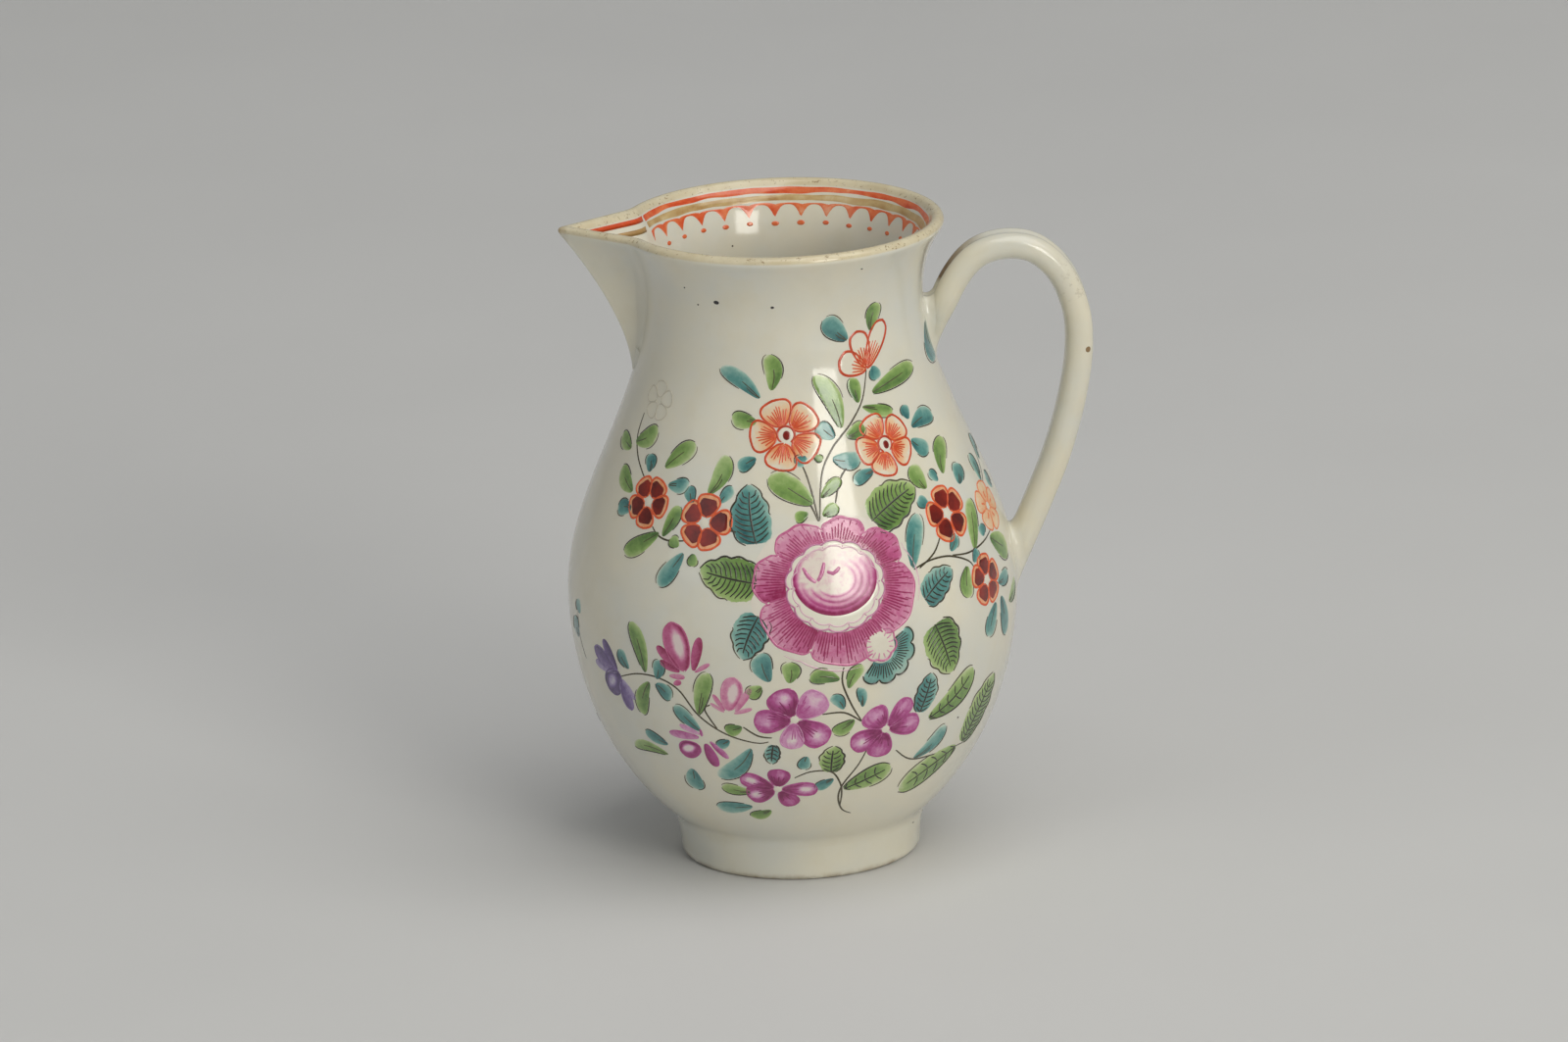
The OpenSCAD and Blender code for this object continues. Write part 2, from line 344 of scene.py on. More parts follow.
def weld(bm, near, least):
    """Joins points nearer than near, and removes edges and faces smaller than least."""
    bmesh.ops.remove_doubles(bm, verts=bm.verts, dist=near)
    bmesh.ops.dissolve_degenerate(bm, edges=bm.edges, dist=least)


def turn_outwards(bm):
    bmesh.ops.recalc_face_normals(bm, faces=bm.faces)


def close_up(piece):
    """Welds coincident points, fills open edges, turns every face outwards, and marks the creases."""
    def close(bm):
        weld(bm, WELD, WELD / 2)
        edges = [e for e in bm.edges if e.is_boundary]
        if edges:
            made = bmesh.ops.holes_fill(bm, edges=edges, sides=0)
            for face in made["faces"]:
                face.smooth = False
            bmesh.ops.triangulate(bm, faces=made["faces"])
        turn_outwards(bm)

    def mark_creases(bm):
        for edge in bm.edges:
            if len(edge.link_faces) == 2:
                edge.smooth = edge.calc_face_angle(0) < CREASE

    rework(piece, close)
    rework(piece, mark_creases)


def finish_piece(piece, slot, *replaced):
    """Everything rides on the one body. replaced are the CAD nodes that the piece stands for."""
    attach(piece, "root")
    if replaced:
        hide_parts(*replaced)


# ---- Materials ----


class Nodes:
    """A short way to build a procedural material."""

    def __init__(self, name):
        self.material = bpy.data.materials.new(name)
        self.material.use_nodes = True
        self.tree = self.material.node_tree
        self.shader = self.tree.nodes["Principled BSDF"]
        self.place = self.tree.nodes.new("ShaderNodeTexCoord").outputs["Object"]

    def add(self, kind, **values):
        node = self.tree.nodes.new("ShaderNode" + kind)
        for key, value in values.items():
            if key in node.inputs:
                node.inputs[key].default_value = value
            else:
                setattr(node, key, value)
        return node

    def link(self, output, target):
        self.tree.links.new(output, target)

    def noise(self, scale, detail, rough, distortion=0.0):
        node = self.add("TexNoise", Scale=scale, Detail=detail, Roughness=rough, Distortion=distortion)
        self.link(self.place, node.inputs["Vector"])
        return node.outputs["Fac"]

    def ramp(self, value, *stops):
        """Colour or grey at places from 0 to 1."""
        node = self.add("ValToRGB")
        while len(node.color_ramp.elements) < len(stops):
            node.color_ramp.elements.new(0.5)
        for element, (place, colour) in zip(node.color_ramp.elements, stops):
            element.position = place
            element.color = (*colour, 1) if isinstance(colour, tuple) else (colour, colour, colour, 1)
        self.link(value, node.inputs["Fac"])
        return node.outputs["Color"]

    def mix(self, share, a, b):
        node = self.add("Mix", data_type="RGBA")
        for value, index in ((share, 0), (a, 6), (b, 7)):
            if isinstance(value, bpy.types.NodeSocket):
                self.link(value, node.inputs[index])
            elif isinstance(value, tuple):
                node.inputs[index].default_value = (*value, 1)
            else:
                node.inputs[index].default_value = value
        return node.outputs[2]

    def math(self, operation, a, b=0.0, clamp=False):
        node = self.add("Math", operation=operation, use_clamp=clamp)
        for value, index in ((a, 0), (b, 1)):
            if isinstance(value, bpy.types.NodeSocket):
                self.link(value, node.inputs[index])
            else:
                node.inputs[index].default_value = value
        return node.outputs[0]

    def times(self, a, b):
        return self.math("MULTIPLY", a, b)

    def inverse(self, value):
        return self.math("SUBTRACT", 1.0, value)

    def axis(self, name):
        node = self.add("SeparateXYZ")
        self.link(self.place, node.inputs[0])
        return node.outputs[name]

    def band(self, name, low, high):
        """0 below low and 1 above high along an axis, in millimetres."""
        node = self.add("MapRange", clamp=True)
        self.link(self.axis(name), node.inputs["Value"])
        node.inputs["From Min"].default_value = low * M
        node.inputs["From Max"].default_value = high * M
        return node.outputs["Result"]

    def specks(self, scale, size, share):
        """Small round specks in a share of the cells."""
        node = self.add("TexVoronoi", Scale=scale)
        self.link(self.place, node.inputs["Vector"])
        near = self.math("LESS_THAN", node.outputs["Distance"], size)
        pick = self.add("SeparateXYZ")
        self.link(node.outputs["Color"], pick.inputs[0])
        chosen = self.math("LESS_THAN", pick.outputs[0], share)
        return self.times(near, chosen)

    def spot(self, place, radius):
        """1 within a radius of a place, in millimetres."""
        node = self.add("VectorMath", operation="DISTANCE")
        self.link(self.place, node.inputs[0])
        node.inputs[1].default_value = [c * M for c in place]
        return self.math("LESS_THAN", node.outputs["Value"], radius * M)

    def surface(self, colour, rough, bump_height, bump_distance, strength):
        self.link(colour, self.shader.inputs["Base Color"])
        self.link(rough, self.shader.inputs["Roughness"])
        bump = self.add("Bump", Strength=strength, Distance=bump_distance * M)
        self.link(bump_height, bump.inputs["Height"])
        self.link(bump.outputs["Normal"], self.shader.inputs["Normal"])
        return self.material

    def constant(self, **values):
        for key, value in values.items():
            self.shader.inputs[key.replace("_", " ")].default_value = value


def srgb(r, g, b):
    """A colour given as screen values from 0 to 255."""
    return tuple(((c / 255 + 0.055) / 1.055) ** 2.4 if c > 10 else c / 255 / 12.92 for c in (r, g, b))


CREAM = srgb(222, 217, 198)
COOL_WHITE = srgb(213, 213, 203)
WARM_CREAM = srgb(214, 206, 180)
# brown for the strap's groove beside the neck: partly dirt, partly painted shade of the crotch
STAIN_AND_SHADE = srgb(120, 92, 58)
SPECK = srgb(62, 48, 36)


def glaze(name, extra, tint=CREAM, speck_share=0.025):
    """Soft-paste porcelain under a clear glaze: cloudy cream and grey, a few specks, a wet gloss."""
    n = Nodes(name)
    cloud = n.ramp(n.noise(55, 4, 0.55), (0.35, COOL_WHITE), (0.6, tint))
    warm = n.ramp(n.noise(140, 5, 0.6), (0.52, 0.0), (0.72, 0.35))
    colour = n.mix(warm, cloud, WARM_CREAM)
    colour = n.mix(n.specks(330, 0.055, speck_share), colour, SPECK)
    colour = extra(n, colour)
    rough = n.ramp(n.noise(220, 3, 0.5), (0.3, 0.07), (0.7, 0.15))
    uneven = n.math("ADD", n.noise(95, 2, 0.4), n.times(n.noise(900, 2, 0.5), 0.05))
    material = n.surface(colour, rough, uneven, 0.16, 0.35)
    n.constant(IOR=1.5, Specular_IOR_Level=0.5, Coat_Weight=0.15, Coat_Roughness=0.05,
               Subsurface_Weight=0.12, Subsurface_Scale=0.002)
    n.shader.inputs["Subsurface Radius"].default_value = (1.0, 0.85, 0.65)
    return material


def worn_rim(n, colour):
    """The glaze is thin and rubbed along the top of the lip: a dry cream band with fine brown specks."""
    top = n.band("Z", RIM_Z - 0.95, RIM_Z - 0.75)
    dry = n.ramp(n.noise(350, 5, 0.6), (0.35, srgb(214, 200, 160)), (0.65, srgb(196, 176, 126)))
    colour = n.mix(n.times(top, 0.6), colour, dry)
    fine = n.ramp(n.noise(1900, 3, 0.7), (0.6, 0.0), (0.66, 0.7))
    return n.mix(n.times(fine, top), colour, srgb(128, 98, 60))


def worn_beak(n, colour):
    """The beak's tip is rubbed down to a brown edge."""
    colour = worn_rim(n, colour)
    tip = n.inverse(n.band("X", -BEAK_REACH, -BEAK_REACH + 2.2))
    worn = n.ramp(n.noise(500, 4, 0.6), (0.35, 0.3), (0.6, 1.0))
    return n.mix(n.times(tip, worn), colour, srgb(122, 92, 50))


def stained_and_shaded_strap(n, colour):
    """Brown dirt and painted shade in the groove of the crotch beside the neck, a rubbed patch on the
    bend, and one iron speck.
    """
    # the groove's brown is partly dirt and partly painted shade where the strap meets the neck
    dirt = n.ramp(n.noise(450, 4, 0.6), (0.3, 0.35), (0.5, 0.95))
    near_neck = n.inverse(n.band("X", 21.5, 28))
    off_centre = n.math("ABSOLUTE", n.math("SUBTRACT", n.axis("Y"), 0.8 * M))
    fall = n.math("POWER", n.times(off_centre, 460), 2.0)
    groove = n.inverse(n.math("MULTIPLY", fall, 1.0, clamp=True))
    above = n.band("Z", 79.5, 80.5)
    dirt_and_shade_mask = n.times(n.times(dirt, near_neck), n.times(groove, above))
    colour = n.mix(n.math("MULTIPLY", dirt_and_shade_mask, 1.2, clamp=True), colour, STAIN_AND_SHADE)
    rubbed = n.ramp(n.noise(1300, 5, 0.75), (0.54, 0.0), (0.62, 0.3))
    outer_bend = n.times(n.band("X", 37, 38.5), n.band("Z", 76.5, 78.5))
    colour = n.mix(n.times(rubbed, outer_bend), colour, srgb(140, 126, 98))
    return n.mix(n.spot((41.47, -0.45 * STRAP_W, 70.05), 0.42), colour, srgb(138, 112, 78))


def dirty_foot(n, colour):
    """The bottom edge is bare, with a line of dirt and pinholes."""
    low = n.inverse(n.band("Z", 0.2, 1.1))
    dirt = n.ramp(n.noise(300, 5, 0.65), (0.4, 0.1), (0.65, 0.8))
    colour = n.mix(n.times(low, dirt), colour, srgb(150, 128, 92))
    return n.mix(n.specks(420, 0.1, 0.06), colour, srgb(120, 96, 66))


def enamel(name, bare, pale, mid, dark, streak):
    """Overglaze enamel: a wash that pools darker where the density is high, with brush streaks."""
    n = Nodes(name)
    density = n.add("Attribute", attribute_name="enamel_depth").outputs["Fac"]
    brushed = n.times(n.math("SUBTRACT", n.noise(streak, 5, 0.65, 0.3), 0.5), 0.6)
    tone = n.math("ADD", density, brushed, clamp=True)
    colour = n.ramp(tone, (0.1, bare), (0.36, pale), (0.66, mid), (1.0, dark))
    rough = n.ramp(n.noise(500, 3, 0.5), (0.3, 0.112), (0.7, 0.256))
    material = n.surface(colour, rough, n.noise(1100, 3, 0.6), 0.05, 0.4)
    n.constant(IOR=1.55, Coat_Weight=0.3, Coat_Roughness=0.08)
    return material


GLAZE = glaze("glazed_porcelain", worn_rim)
GLAZE_BEAK = glaze("glazed_beak", worn_beak)
GLAZE_HANDLE = glaze("glazed_handle", stained_and_shaded_strap, srgb(220, 214, 192))
GLAZE_FOOT = glaze("glazed_foot", dirty_foot, srgb(222, 218, 200), 0.05)
GLAZE_SLIP = glaze("glazed_slip", worn_rim, srgb(221, 216, 197))

ENAMELS = {
    name: enamel(name + "_enamel", *(srgb(*tone) for tone in tones), streak=streak)
    for name, streak, tones in (
        ("green_leaves", 800, ((210, 212, 182), (166, 188, 122), (124, 156, 84), (62, 98, 50))),
        ("teal_leaves", 800, ((204, 212, 198), (144, 182, 170), (88, 144, 138), (28, 86, 92))),
        ("ink_lines", 1500, ((134, 122, 90), (98, 88, 60), (62, 56, 38), (26, 26, 20))),
        ("orange_lines", 1200, ((228, 176, 140), (226, 122, 72), (214, 82, 38), (166, 46, 18))),
        ("orange_wash", 1200, ((223, 217, 199), (228, 196, 158), (226, 144, 92), (208, 92, 46))),
        ("red_petals", 1200, ((196, 88, 52), (172, 56, 28), (138, 32, 15), (88, 16, 10))),
        ("puce_petals", 1200, ((224, 212, 208), (208, 150, 188), (174, 72, 138), (126, 22, 84))),
        ("rose_petals", 1500, ((223, 205, 202), (212, 150, 176), (190, 92, 138), (144, 30, 80))),
        ("rose_blush", 900, ((223, 216, 203), (220, 192, 198), (206, 152, 178), (178, 100, 144))),
        ("rose_heart", 1200, ((225, 214, 202), (212, 154, 178), (184, 84, 138), (138, 26, 80))),
        ("violet_petals", 1200, ((208, 202, 210), (160, 144, 184), (108, 84, 142), (60, 36, 88))),
        ("cream_touches", 900, ((225, 221, 205), (221, 215, 198), (214, 206, 190), (206, 196, 180))),
        ("gold", 600, ((214, 202, 168), (202, 176, 124), (178, 142, 88), (136, 100, 58))),
        ("rubbed_lines", 900, ((208, 202, 184), (198, 190, 170), (186, 178, 158), (176, 166, 146))),
        ("kiln_specks", 900, ((110, 104, 96), (70, 66, 62), (40, 40, 42), (26, 26, 30))))}

# ---- Porcelain pieces ----

COLUMNS = 288                   # points round each turned piece


def ring_gap(ring):
    """Half of the angle that the beak and its slip take out of a ring."""
    angle = seam_angle(ring)
    return angle + fillet_of(ring) / ring[0] if angle else 0.0


def make_body():
    """The thrown body, from a point under its middle, with the beak's opening left out."""
    verts = [Vector((0.02 * math.sin(TAU * j / COLUMNS), 0.02 * math.cos(TAU * j / COLUMNS), BASE_Z))
             for j in range(COLUMNS + 1)]
    for ring in RINGS:
        gap = ring_gap(ring)
        for j in range(COLUMNS + 1):
            angle = -math.pi / 2 + gap + (TAU - 2 * gap) * j / COLUMNS
            verts.append(around(ring[0], angle, ring[1]))
    piece = new_object("jug_body", verts, grid_faces(len(RINGS) + 1, COLUMNS + 1), GLAZE)
    close_up(piece)
    finish_piece(piece, "body", "body")


def beak_rings():
    """The body's rings that the beak opens."""
    return [ring for ring in RINGS if ring[3] > 0.05]


def make_beak():
    """Both faces of the beak, outside and in, from one seam round the keel to the other."""
    rows = beak_rings()
    steps = 26
    places = [SLIP_SHARE + (1 - SLIP_SHARE) * j / steps for j in range(steps + 1)]
    verts = []
    for ring in rows:
        side = [beak_plan(ring, q) for q in places]
        other = [Vector((p.x, -p.y)) for p in reversed(side[:-1])]
        verts += [Vector((p.x, p.y, ring[1])) for p in side + other]
    piece = new_object("beak", verts, grid_faces(len(rows), 2 * steps + 1), GLAZE_BEAK)
    close_up(piece)
    finish_piece(piece, "beak", "beak")


def make_beak_slip():
    """The two seams of slip that join the beak to the neck."""
    rows = beak_rings()
    steps = 8
    verts, faces = [], []
    for side in (1, -1):
        start = len(verts)
        for ring in rows:
            for j in range(steps + 1):
                p = beak_plan(ring, SLIP_SHARE * j / steps)
                verts.append(Vector((p.x, side * p.y, ring[1])))
        faces += grid_faces(len(rows), steps + 1, start=start)
    piece = new_object("beak_slip_seam", verts, faces, GLAZE_SLIP)
    close_up(piece)
    finish_piece(piece, "beak_slip_seam", "beak_slip_seam")


def turned(name, outline, material, slot, replaced):
    """A closed outline of (radius, height) turned about the axis."""
    verts = []
    for r, z in outline:
        verts += [around(r, TAU * j / COLUMNS, z) for j in range(COLUMNS)]
    faces = grid_faces(len(outline), COLUMNS, wrap=True)
    last = (len(outline) - 1) * COLUMNS
    faces += [(last + j, last + (j + 1) % COLUMNS, (j + 1) % COLUMNS, j) for j in range(COLUMNS)]
    piece = new_object(name, verts, faces, material)
    close_up(piece)
    finish_piece(piece, slot, replaced)


def arc_points(centre, radius, start, end, steps):
    """Points of an arc, angles in degrees."""
    return [(centre[0] + radius * math.cos(math.radians(start + (end - start) * i / steps)),
             centre[1] + radius * math.sin(math.radians(start + (end - start) * i / steps)))
            for i in range(steps + 1)]


FOOT_R = FOOT_TOP_R - 0.7
FOOT_INNER_R = 13.6
FOOT_EDGE_R = 0.8               # rounding of the foot's outer and inner bottom edges
FOOT_INNER_EDGE_R = 0.5
FOOT_JOIN_Z = FOOT_HIGH[2]


def make_foot():
    """The turned ring, from its seat under the body, down the outside and up the recess."""
    steps = 8
    seat = [(outer_r(z) - 0.01, z) for z in
            (BASE_Z + (FOOT_JOIN_Z - BASE_Z) * i / steps for i in range(steps + 1))]
    edge = arc_points((FOOT_R - FOOT_EDGE_R, FOOT_EDGE_R), FOOT_EDGE_R, 0, -90, 8)
    inside = arc_points((FOOT_INNER_R + 1.0, FOOT_INNER_EDGE_R), FOOT_INNER_EDGE_R, -90, -180, 5)
    side = [(FOOT_R + (FOOT_TOP_R - FOOT_R) * t ** 1.4, FOOT_EDGE_R + (FOOT_JOIN_Z - FOOT_EDGE_R) * t)
            for t in (0.85, 0.7, 0.55, 0.4, 0.25, 0.12)]
    turned("foot_ring", seat + side + edge + inside + [(FOOT_INNER_R, BASE_Z)], GLAZE_FOOT,
           "foot_ring", "foot_ring")


def make_foot_slip():
    """A soft bead of slip in the corner between the foot and the body."""
    corner = Vector((FOOT_TOP_R, FOOT_JOIN_Z))
    high_z = FOOT_JOIN_Z + 0.8
    high = Vector((outer_r(high_z), high_z))
    low = Vector((FOOT_TOP_R - 0.1, FOOT_JOIN_Z - 1.0))
    curve = [bezier(high, corner, low, i / 8) for i in range(9)]
    back = [low - Vector((0.4, 0)), corner - Vector((0.8, 0)), high - Vector((0.4, -0.1))]    # hidden
    turned("foot_slip_bead", [(p.x, p.y) for p in curve + back], GLAZE_SLIP,
           "foot_slip_bead", "foot_slip_bead")


# ---- Handle ----

STRAP_T = 4.0                   # thickness of the strap
GROOVE = 0.55                   # depth of the groove along its back
STRAP_LINE = [Vector(p) for p in (
    (19.4, 69.5), (21.2, 75.4), (23.6, 80.5), (26.7, 83.8), (30.8, 84.9), (34.8, 84.0), (38.2, 80.6),
    (40.2, 75.2), (40.4, 69.4), (39.2, 62.4), (37.0, 55.0), (34.2, 48.2), (31.4, 42.0), (29.6, 38.0))]
STRAP_END = len(STRAP_LINE) - 1
SECTION = 48                    # points round the strap
SQUARENESS = 0.85               # 1 would be an ellipse, and less is squarer
TAIL_SHARE = 0.45               # size of the upper end's tip, and where it has grown to full size
TAIL_END = STRAP_END * 0.12


def strap_centre(u):
    """A smooth curve through the strap's points."""
    i = min(int(u), STRAP_END - 1)
    t = u - i
    a, b = STRAP_LINE[max(i - 1, 0)], STRAP_LINE[i]
    c, d = STRAP_LINE[i + 1], STRAP_LINE[min(i + 2, STRAP_END)]
    return spline(a, b, c, d, t)


def strap_point(u, k):
    """Point k of SECTION round the strap at u along it."""
    step = 0.02
    along = strap_centre(min(u + step, STRAP_END)) - strap_centre(max(u - step, 0))
    along.normalize()
    out = Vector((-along.y, along.x))
    t = min(u / TAIL_END, 1.0)
    size = TAIL_SHARE + (1 - TAIL_SHARE) * t * t * (3 - 2 * t)
    a = TAU * k / SECTION
    c, s = math.cos(a), math.sin(a)
    y = STRAP_W / 2 * size * math.copysign(abs(c) ** SQUARENESS, c)
    o = STRAP_T / 2 * size * math.copysign(abs(s) ** SQUARENESS, s)
    if s > 0:
        o -= GROOVE * size * math.exp(-(y / (STRAP_W * 0.16)) ** 2)
    centre = strap_centre(u)
    return Vector((centre.x + out.x * o, y, centre.y + out.y * o))


def inside_body(p):
    """Whether a point is behind the body's outside."""
    return math.hypot(p.x, p.y) < outer_r(p.z)


def make_strap():
    """The handle: one grooved strap, whose ends run into the body."""
    rows = 260
    verts = [strap_point(STRAP_END * i / (rows - 1), k) for i in range(rows) for k in range(SECTION)]
    piece = new_object("handle", verts, grid_faces(rows, SECTION, wrap=True), GLAZE_HANDLE)
    close_up(piece)
    finish_piece(piece, "handle", "handle")


def contact_u(k, near_end):
    """Where line k of the strap goes through the body's surface."""
    out_u, in_u = (STRAP_END * 0.72, STRAP_END) if near_end else (STRAP_END * 0.3, 0.0)
    if not inside_body(strap_point(in_u, k)):
        return in_u
    for _ in range(30):
        mid = (out_u + in_u) / 2
        if inside_body(strap_point(mid, k)):
            in_u = mid
        else:
            out_u = mid
    return out_u


def on_body(p, lift=0.0):
    """The point of the body's surface level with p, moved out by lift."""
    angle = math.atan2(p.x, -p.y)
    nr, nz = outer_normal(p.z)
    return around(outer_r(p.z) + lift * nr, angle, p.z + lift * nz)


def make_collar(name, near_end, reach_on_strap, reach_on_body, pad=0.0):
    """The fillet of slip where an end of the strap meets the body. pad builds up the crotch above it."""
    steps = 14
    nudge = 0.05                # a short way along the strap, to find its direction
    contact = [contact_u(k, near_end) for k in range(SECTION)]
    corners = [on_body(strap_point(u, k)) for k, u in enumerate(contact)]
    middle = sum(corners, Vector()) / SECTION
    verts = []
    for k, u in enumerate(contact):
        above = max(0.0, math.sin(TAU * k / SECTION)) ** 0.5 if pad else 0.0
        away = strap_point(u + (-nudge if near_end else nudge), k) - strap_point(u, k)
        du = nudge * (reach_on_strap + pad * above) / max(away.length, 1e-6)
        top = strap_point(u - du if near_end else u + du, k)
        spread = (corners[k] - middle).normalized() * reach_on_body
        foot = on_body(corners[k] + spread + Vector((0, 0, pad * 0.8 * above)), -0.03)
        control = corners[k].lerp((top + foot) / 2, 0.85 * above)
        for i in range(steps + 1):
            verts.append(bezier(top, control, foot, i / steps))
    faces = grid_faces(SECTION, steps + 1)
    last = (SECTION - 1) * (steps + 1)
    faces += [(last + i, i, i + 1, last + i + 1) for i in range(steps)]
    piece = new_object(name, verts, faces, GLAZE_SLIP)
    rework(piece, turn_outwards)
    finish_piece(piece, name, name)


make_body()
make_beak()
make_beak_slip()
make_foot()
make_foot_slip()
make_strap()
make_collar("upper_handle_slip", False, 1.6, 1.2, pad=3.6)
make_collar("lower_handle_slip", True, 2.4, 1.5)

# ---- Enamel painting ----

STEM_LIFT = 0.015               # how far each kind of paint stands above the glaze, in millimetres
UNDER_LIFT = 0.018
WASH_LIFT = 0.03
EYE_LIFT = 0.042
LINE_LIFT = 0.055
HATCH_LIFT = 0.065
TOUCH_LIFT = 0.075
SUNK = 0.012                    # how far the edges of a patch dip into the glaze
PAINT_WELD = 0.001 * M
random.seed(11)


class Paint:
    """Gathers the patches and strokes of one colour in one spray into one piece."""

    def __init__(self, name, material):
        self.name, self.material = name, material
        self.verts, self.faces, self.density = [], [], []

    def grid(self, rows, cols, points, density, wrap=False):
        self.faces += grid_faces(rows, cols, wrap, len(self.verts))
        self.verts += points
        self.density += [min(max(d, 0.0), 1.0) for d in density]

    def lay(self, surface, rows, cols, place, density, lift=WASH_LIFT, wrap=False, centred=False):
        """A patch of enamel. Its free edges dip into the glaze, so that it has a thickness."""
        points, values = [], []
        for i in range(rows):
            for j in range(cols):
                s, t = i / (rows - 1), j / (cols if wrap else cols - 1)
                edge = i == rows - 1 or (i == 0 and not centred) or (not wrap and j in (0, cols - 1))
                p = place(s, t)
                points.append(surface.at(p.x, p.y, -SUNK if edge else lift))
                values.append(density(s, t))
        self.grid(rows, cols, points, values, wrap)

    def make(self):
        """Makes the piece, with its faces turned away from the wall."""
        facing = -1 if self.name.startswith("mouth") else 1

        def clean(bm):
            weld(bm, PAINT_WELD, PAINT_WELD)
            for face in bm.faces:
                centre = face.calc_center_median()
                if face.normal.dot(Vector((centre.x, centre.y, 0)) * facing) < 0:
                    face.normal_flip()

        piece = new_object(self.name, self.verts, self.faces, self.material, self.density)
        rework(piece, clean)
        finish_piece(piece, "body")


PAINTS = {}
SPRAY = ["bouquet"]             # the spray being painted, which starts its pieces' names


def paint(colour):
    """The piece that holds a colour in the spray being painted."""
    name = SPRAY[0] + "_" + colour
    if name not in PAINTS:
        PAINTS[name] = Paint(name, ENAMELS[colour])
    return PAINTS[name]


class Chart:
    """Flat drawing coordinates, in millimetres, laid on the outside round a place on it."""

    def __init__(self, degrees, z):
        self.angle, self.arc = math.radians(degrees), arc_at(z)

    def at(self, u, v, lift):
        z = height_at(min(max(self.arc + v, 0.5), ARC[-1] - 0.5))
        r = outer_r(z)
        nr, nz = outer_normal(z)
        return around(r + lift * nr, self.angle + u / r, z + lift * nz)

    def local(self, degrees, z):
        """Drawing coordinates of another place."""
        return Vector(((math.radians(degrees) - self.angle) * outer_r(z), arc_at(z) - self.arc))


MOUTH_R = inner_point(FLARE_END_Z)[0]


class Mouth:
    """Drawing coordinates inside the mouth: u runs round it and v down from the lip's curve."""

    def at(self, u, v, lift):
        slope = outer_slope(FLARE_END_Z - v)
        r, z = inner_point(FLARE_END_Z - v / math.hypot(1, slope))
        nr, nz = outer_normal(z)
        return around(r - lift * nr, u / MOUTH_R, z - lift * nz)


def curve_through(points):
    """Points along a smooth curve through the given ones, at most a step apart."""
    step = 0.6
    out = []
    last = len(points) - 1
    for i in range(last):
        a, b = points[max(i - 1, 0)], points[i]
        c, d = points[i + 1], points[min(i + 2, last)]
        count = max(2, math.ceil((c - b).length / step))
        for j in range(count):
            out.append(spline(a, b, c, d, j / count))
    out.append(points[last])
    return out


def stroke(colour, surface, points, width, dens, lift=LINE_LIFT, taper=0.35):
    """A brush line: its ends thinner by taper, the middle pressed, the edges sunk in the glaze."""
    line = curve_through([Vector(p) for p in points])
    count = len(line)
    verts, values = [], []
    for i, p in enumerate(line):
        ahead = line[min(i + 1, count - 1)] - line[max(i - 1, 0)]
        if ahead.length < 1e-9:
            continue
        side = Vector((-ahead.y, ahead.x)).normalized()
        press = taper + (1 - taper) * math.sin(math.pi * min(max(i / (count - 1), 0.03), 0.97)) ** 0.5
        half = width / 2 * press
        end = i in (0, count - 1)
        for j, high in ((-1, -SUNK), (-0.45, lift), (0.45, lift), (1, -SUNK)):
            q = p + side * half * j
            verts.append(surface.at(q.x, q.y, -SUNK if end else high))
            values.append(dens * (0.85 + 0.2 * press))
    paint(colour).grid(len(verts) // 4, 4, verts, values)


def dot(colour, surface, centre, radius, dens, lift=TOUCH_LIFT, squash=1.0):
    """A round dab, domed a little."""
    def place(s, t):
        a = TAU * t
        return Vector(centre) + Vector((math.cos(a) * radius * s * squash, math.sin(a) * radius * s))
    paint(colour).lay(surface, 4, 16, place, lambda s, t: dens, lift, wrap=True, centred=True)


LONG_LEAF = 2.1                 # a broad leaf longer than this many widths is a plain blade
SMALL_LEAF = (0.6, 2.7, 0.55)   # how the outline opens from the base, where it closes, and how bluntly
BROAD_LEAF = (0.42, 2.2, 0.75)
HEART_LEAF = (0.3, 1.6, 0.7)
PETAL = (0.55, 3.6, 0.5)
BRUSH_MARK = (0.5, 2.6, 0.55)


def blade(base, tip, width, outline=PETAL, bend=0.0, teeth=0):
    """The shape of a leaf or petal: a function of the place along it, 0 to 1, and across it, -1 to 1."""
    base, tip = Vector(base), Vector(tip)
    along = tip - base
    side = Vector((-along.y, along.x)).normalized()
    opening, closing, blunt = outline

    def spread(s):
        return s ** opening * (1 - s ** closing) ** blunt

    widest = max(spread(i / 40) for i in range(41))

    def at(s, w):
        s = min(max(s, 0.0), 1.0)
        notch = 0.0
        if teeth:
            notch = 0.16 * (1 - abs(math.sin(math.pi * teeth * s))) * abs(w) * (0.25 + s)
        half = width / 2 * spread(s) / widest * (1 - notch)
        return base + along * s + side * (w * half + bend * math.sin(math.pi * s))
    return at


def fill(colour, surface, shape, density, lift=WASH_LIFT, rows=14, cols=9):
    """A wash over a whole shape."""
    paint(colour).lay(surface, rows, cols, lambda s, t: shape(0.01 + 0.985 * s, 2 * t - 1),
                      lambda s, t: density(s, 2 * t - 1), lift)


def edge_points(shape, side, start=0.0, end=1.0, spread=1.0):
    """Points along one side of a shape."""
    count = 12
    return [shape(start + (end - start) * i / count, side * spread) for i in range(count + 1)]


def rim_stroke(colour, surface, shape, width, dens, spread=1.0, taper=0.7):
    """A line right round a shape, starting and ending at its base."""
    loop = edge_points(shape, -1, spread=spread) + edge_points(shape, 1, 1.0, 0.0, spread=spread)[1:]
    stroke(colour, surface, loop, width, dens, taper=taper)


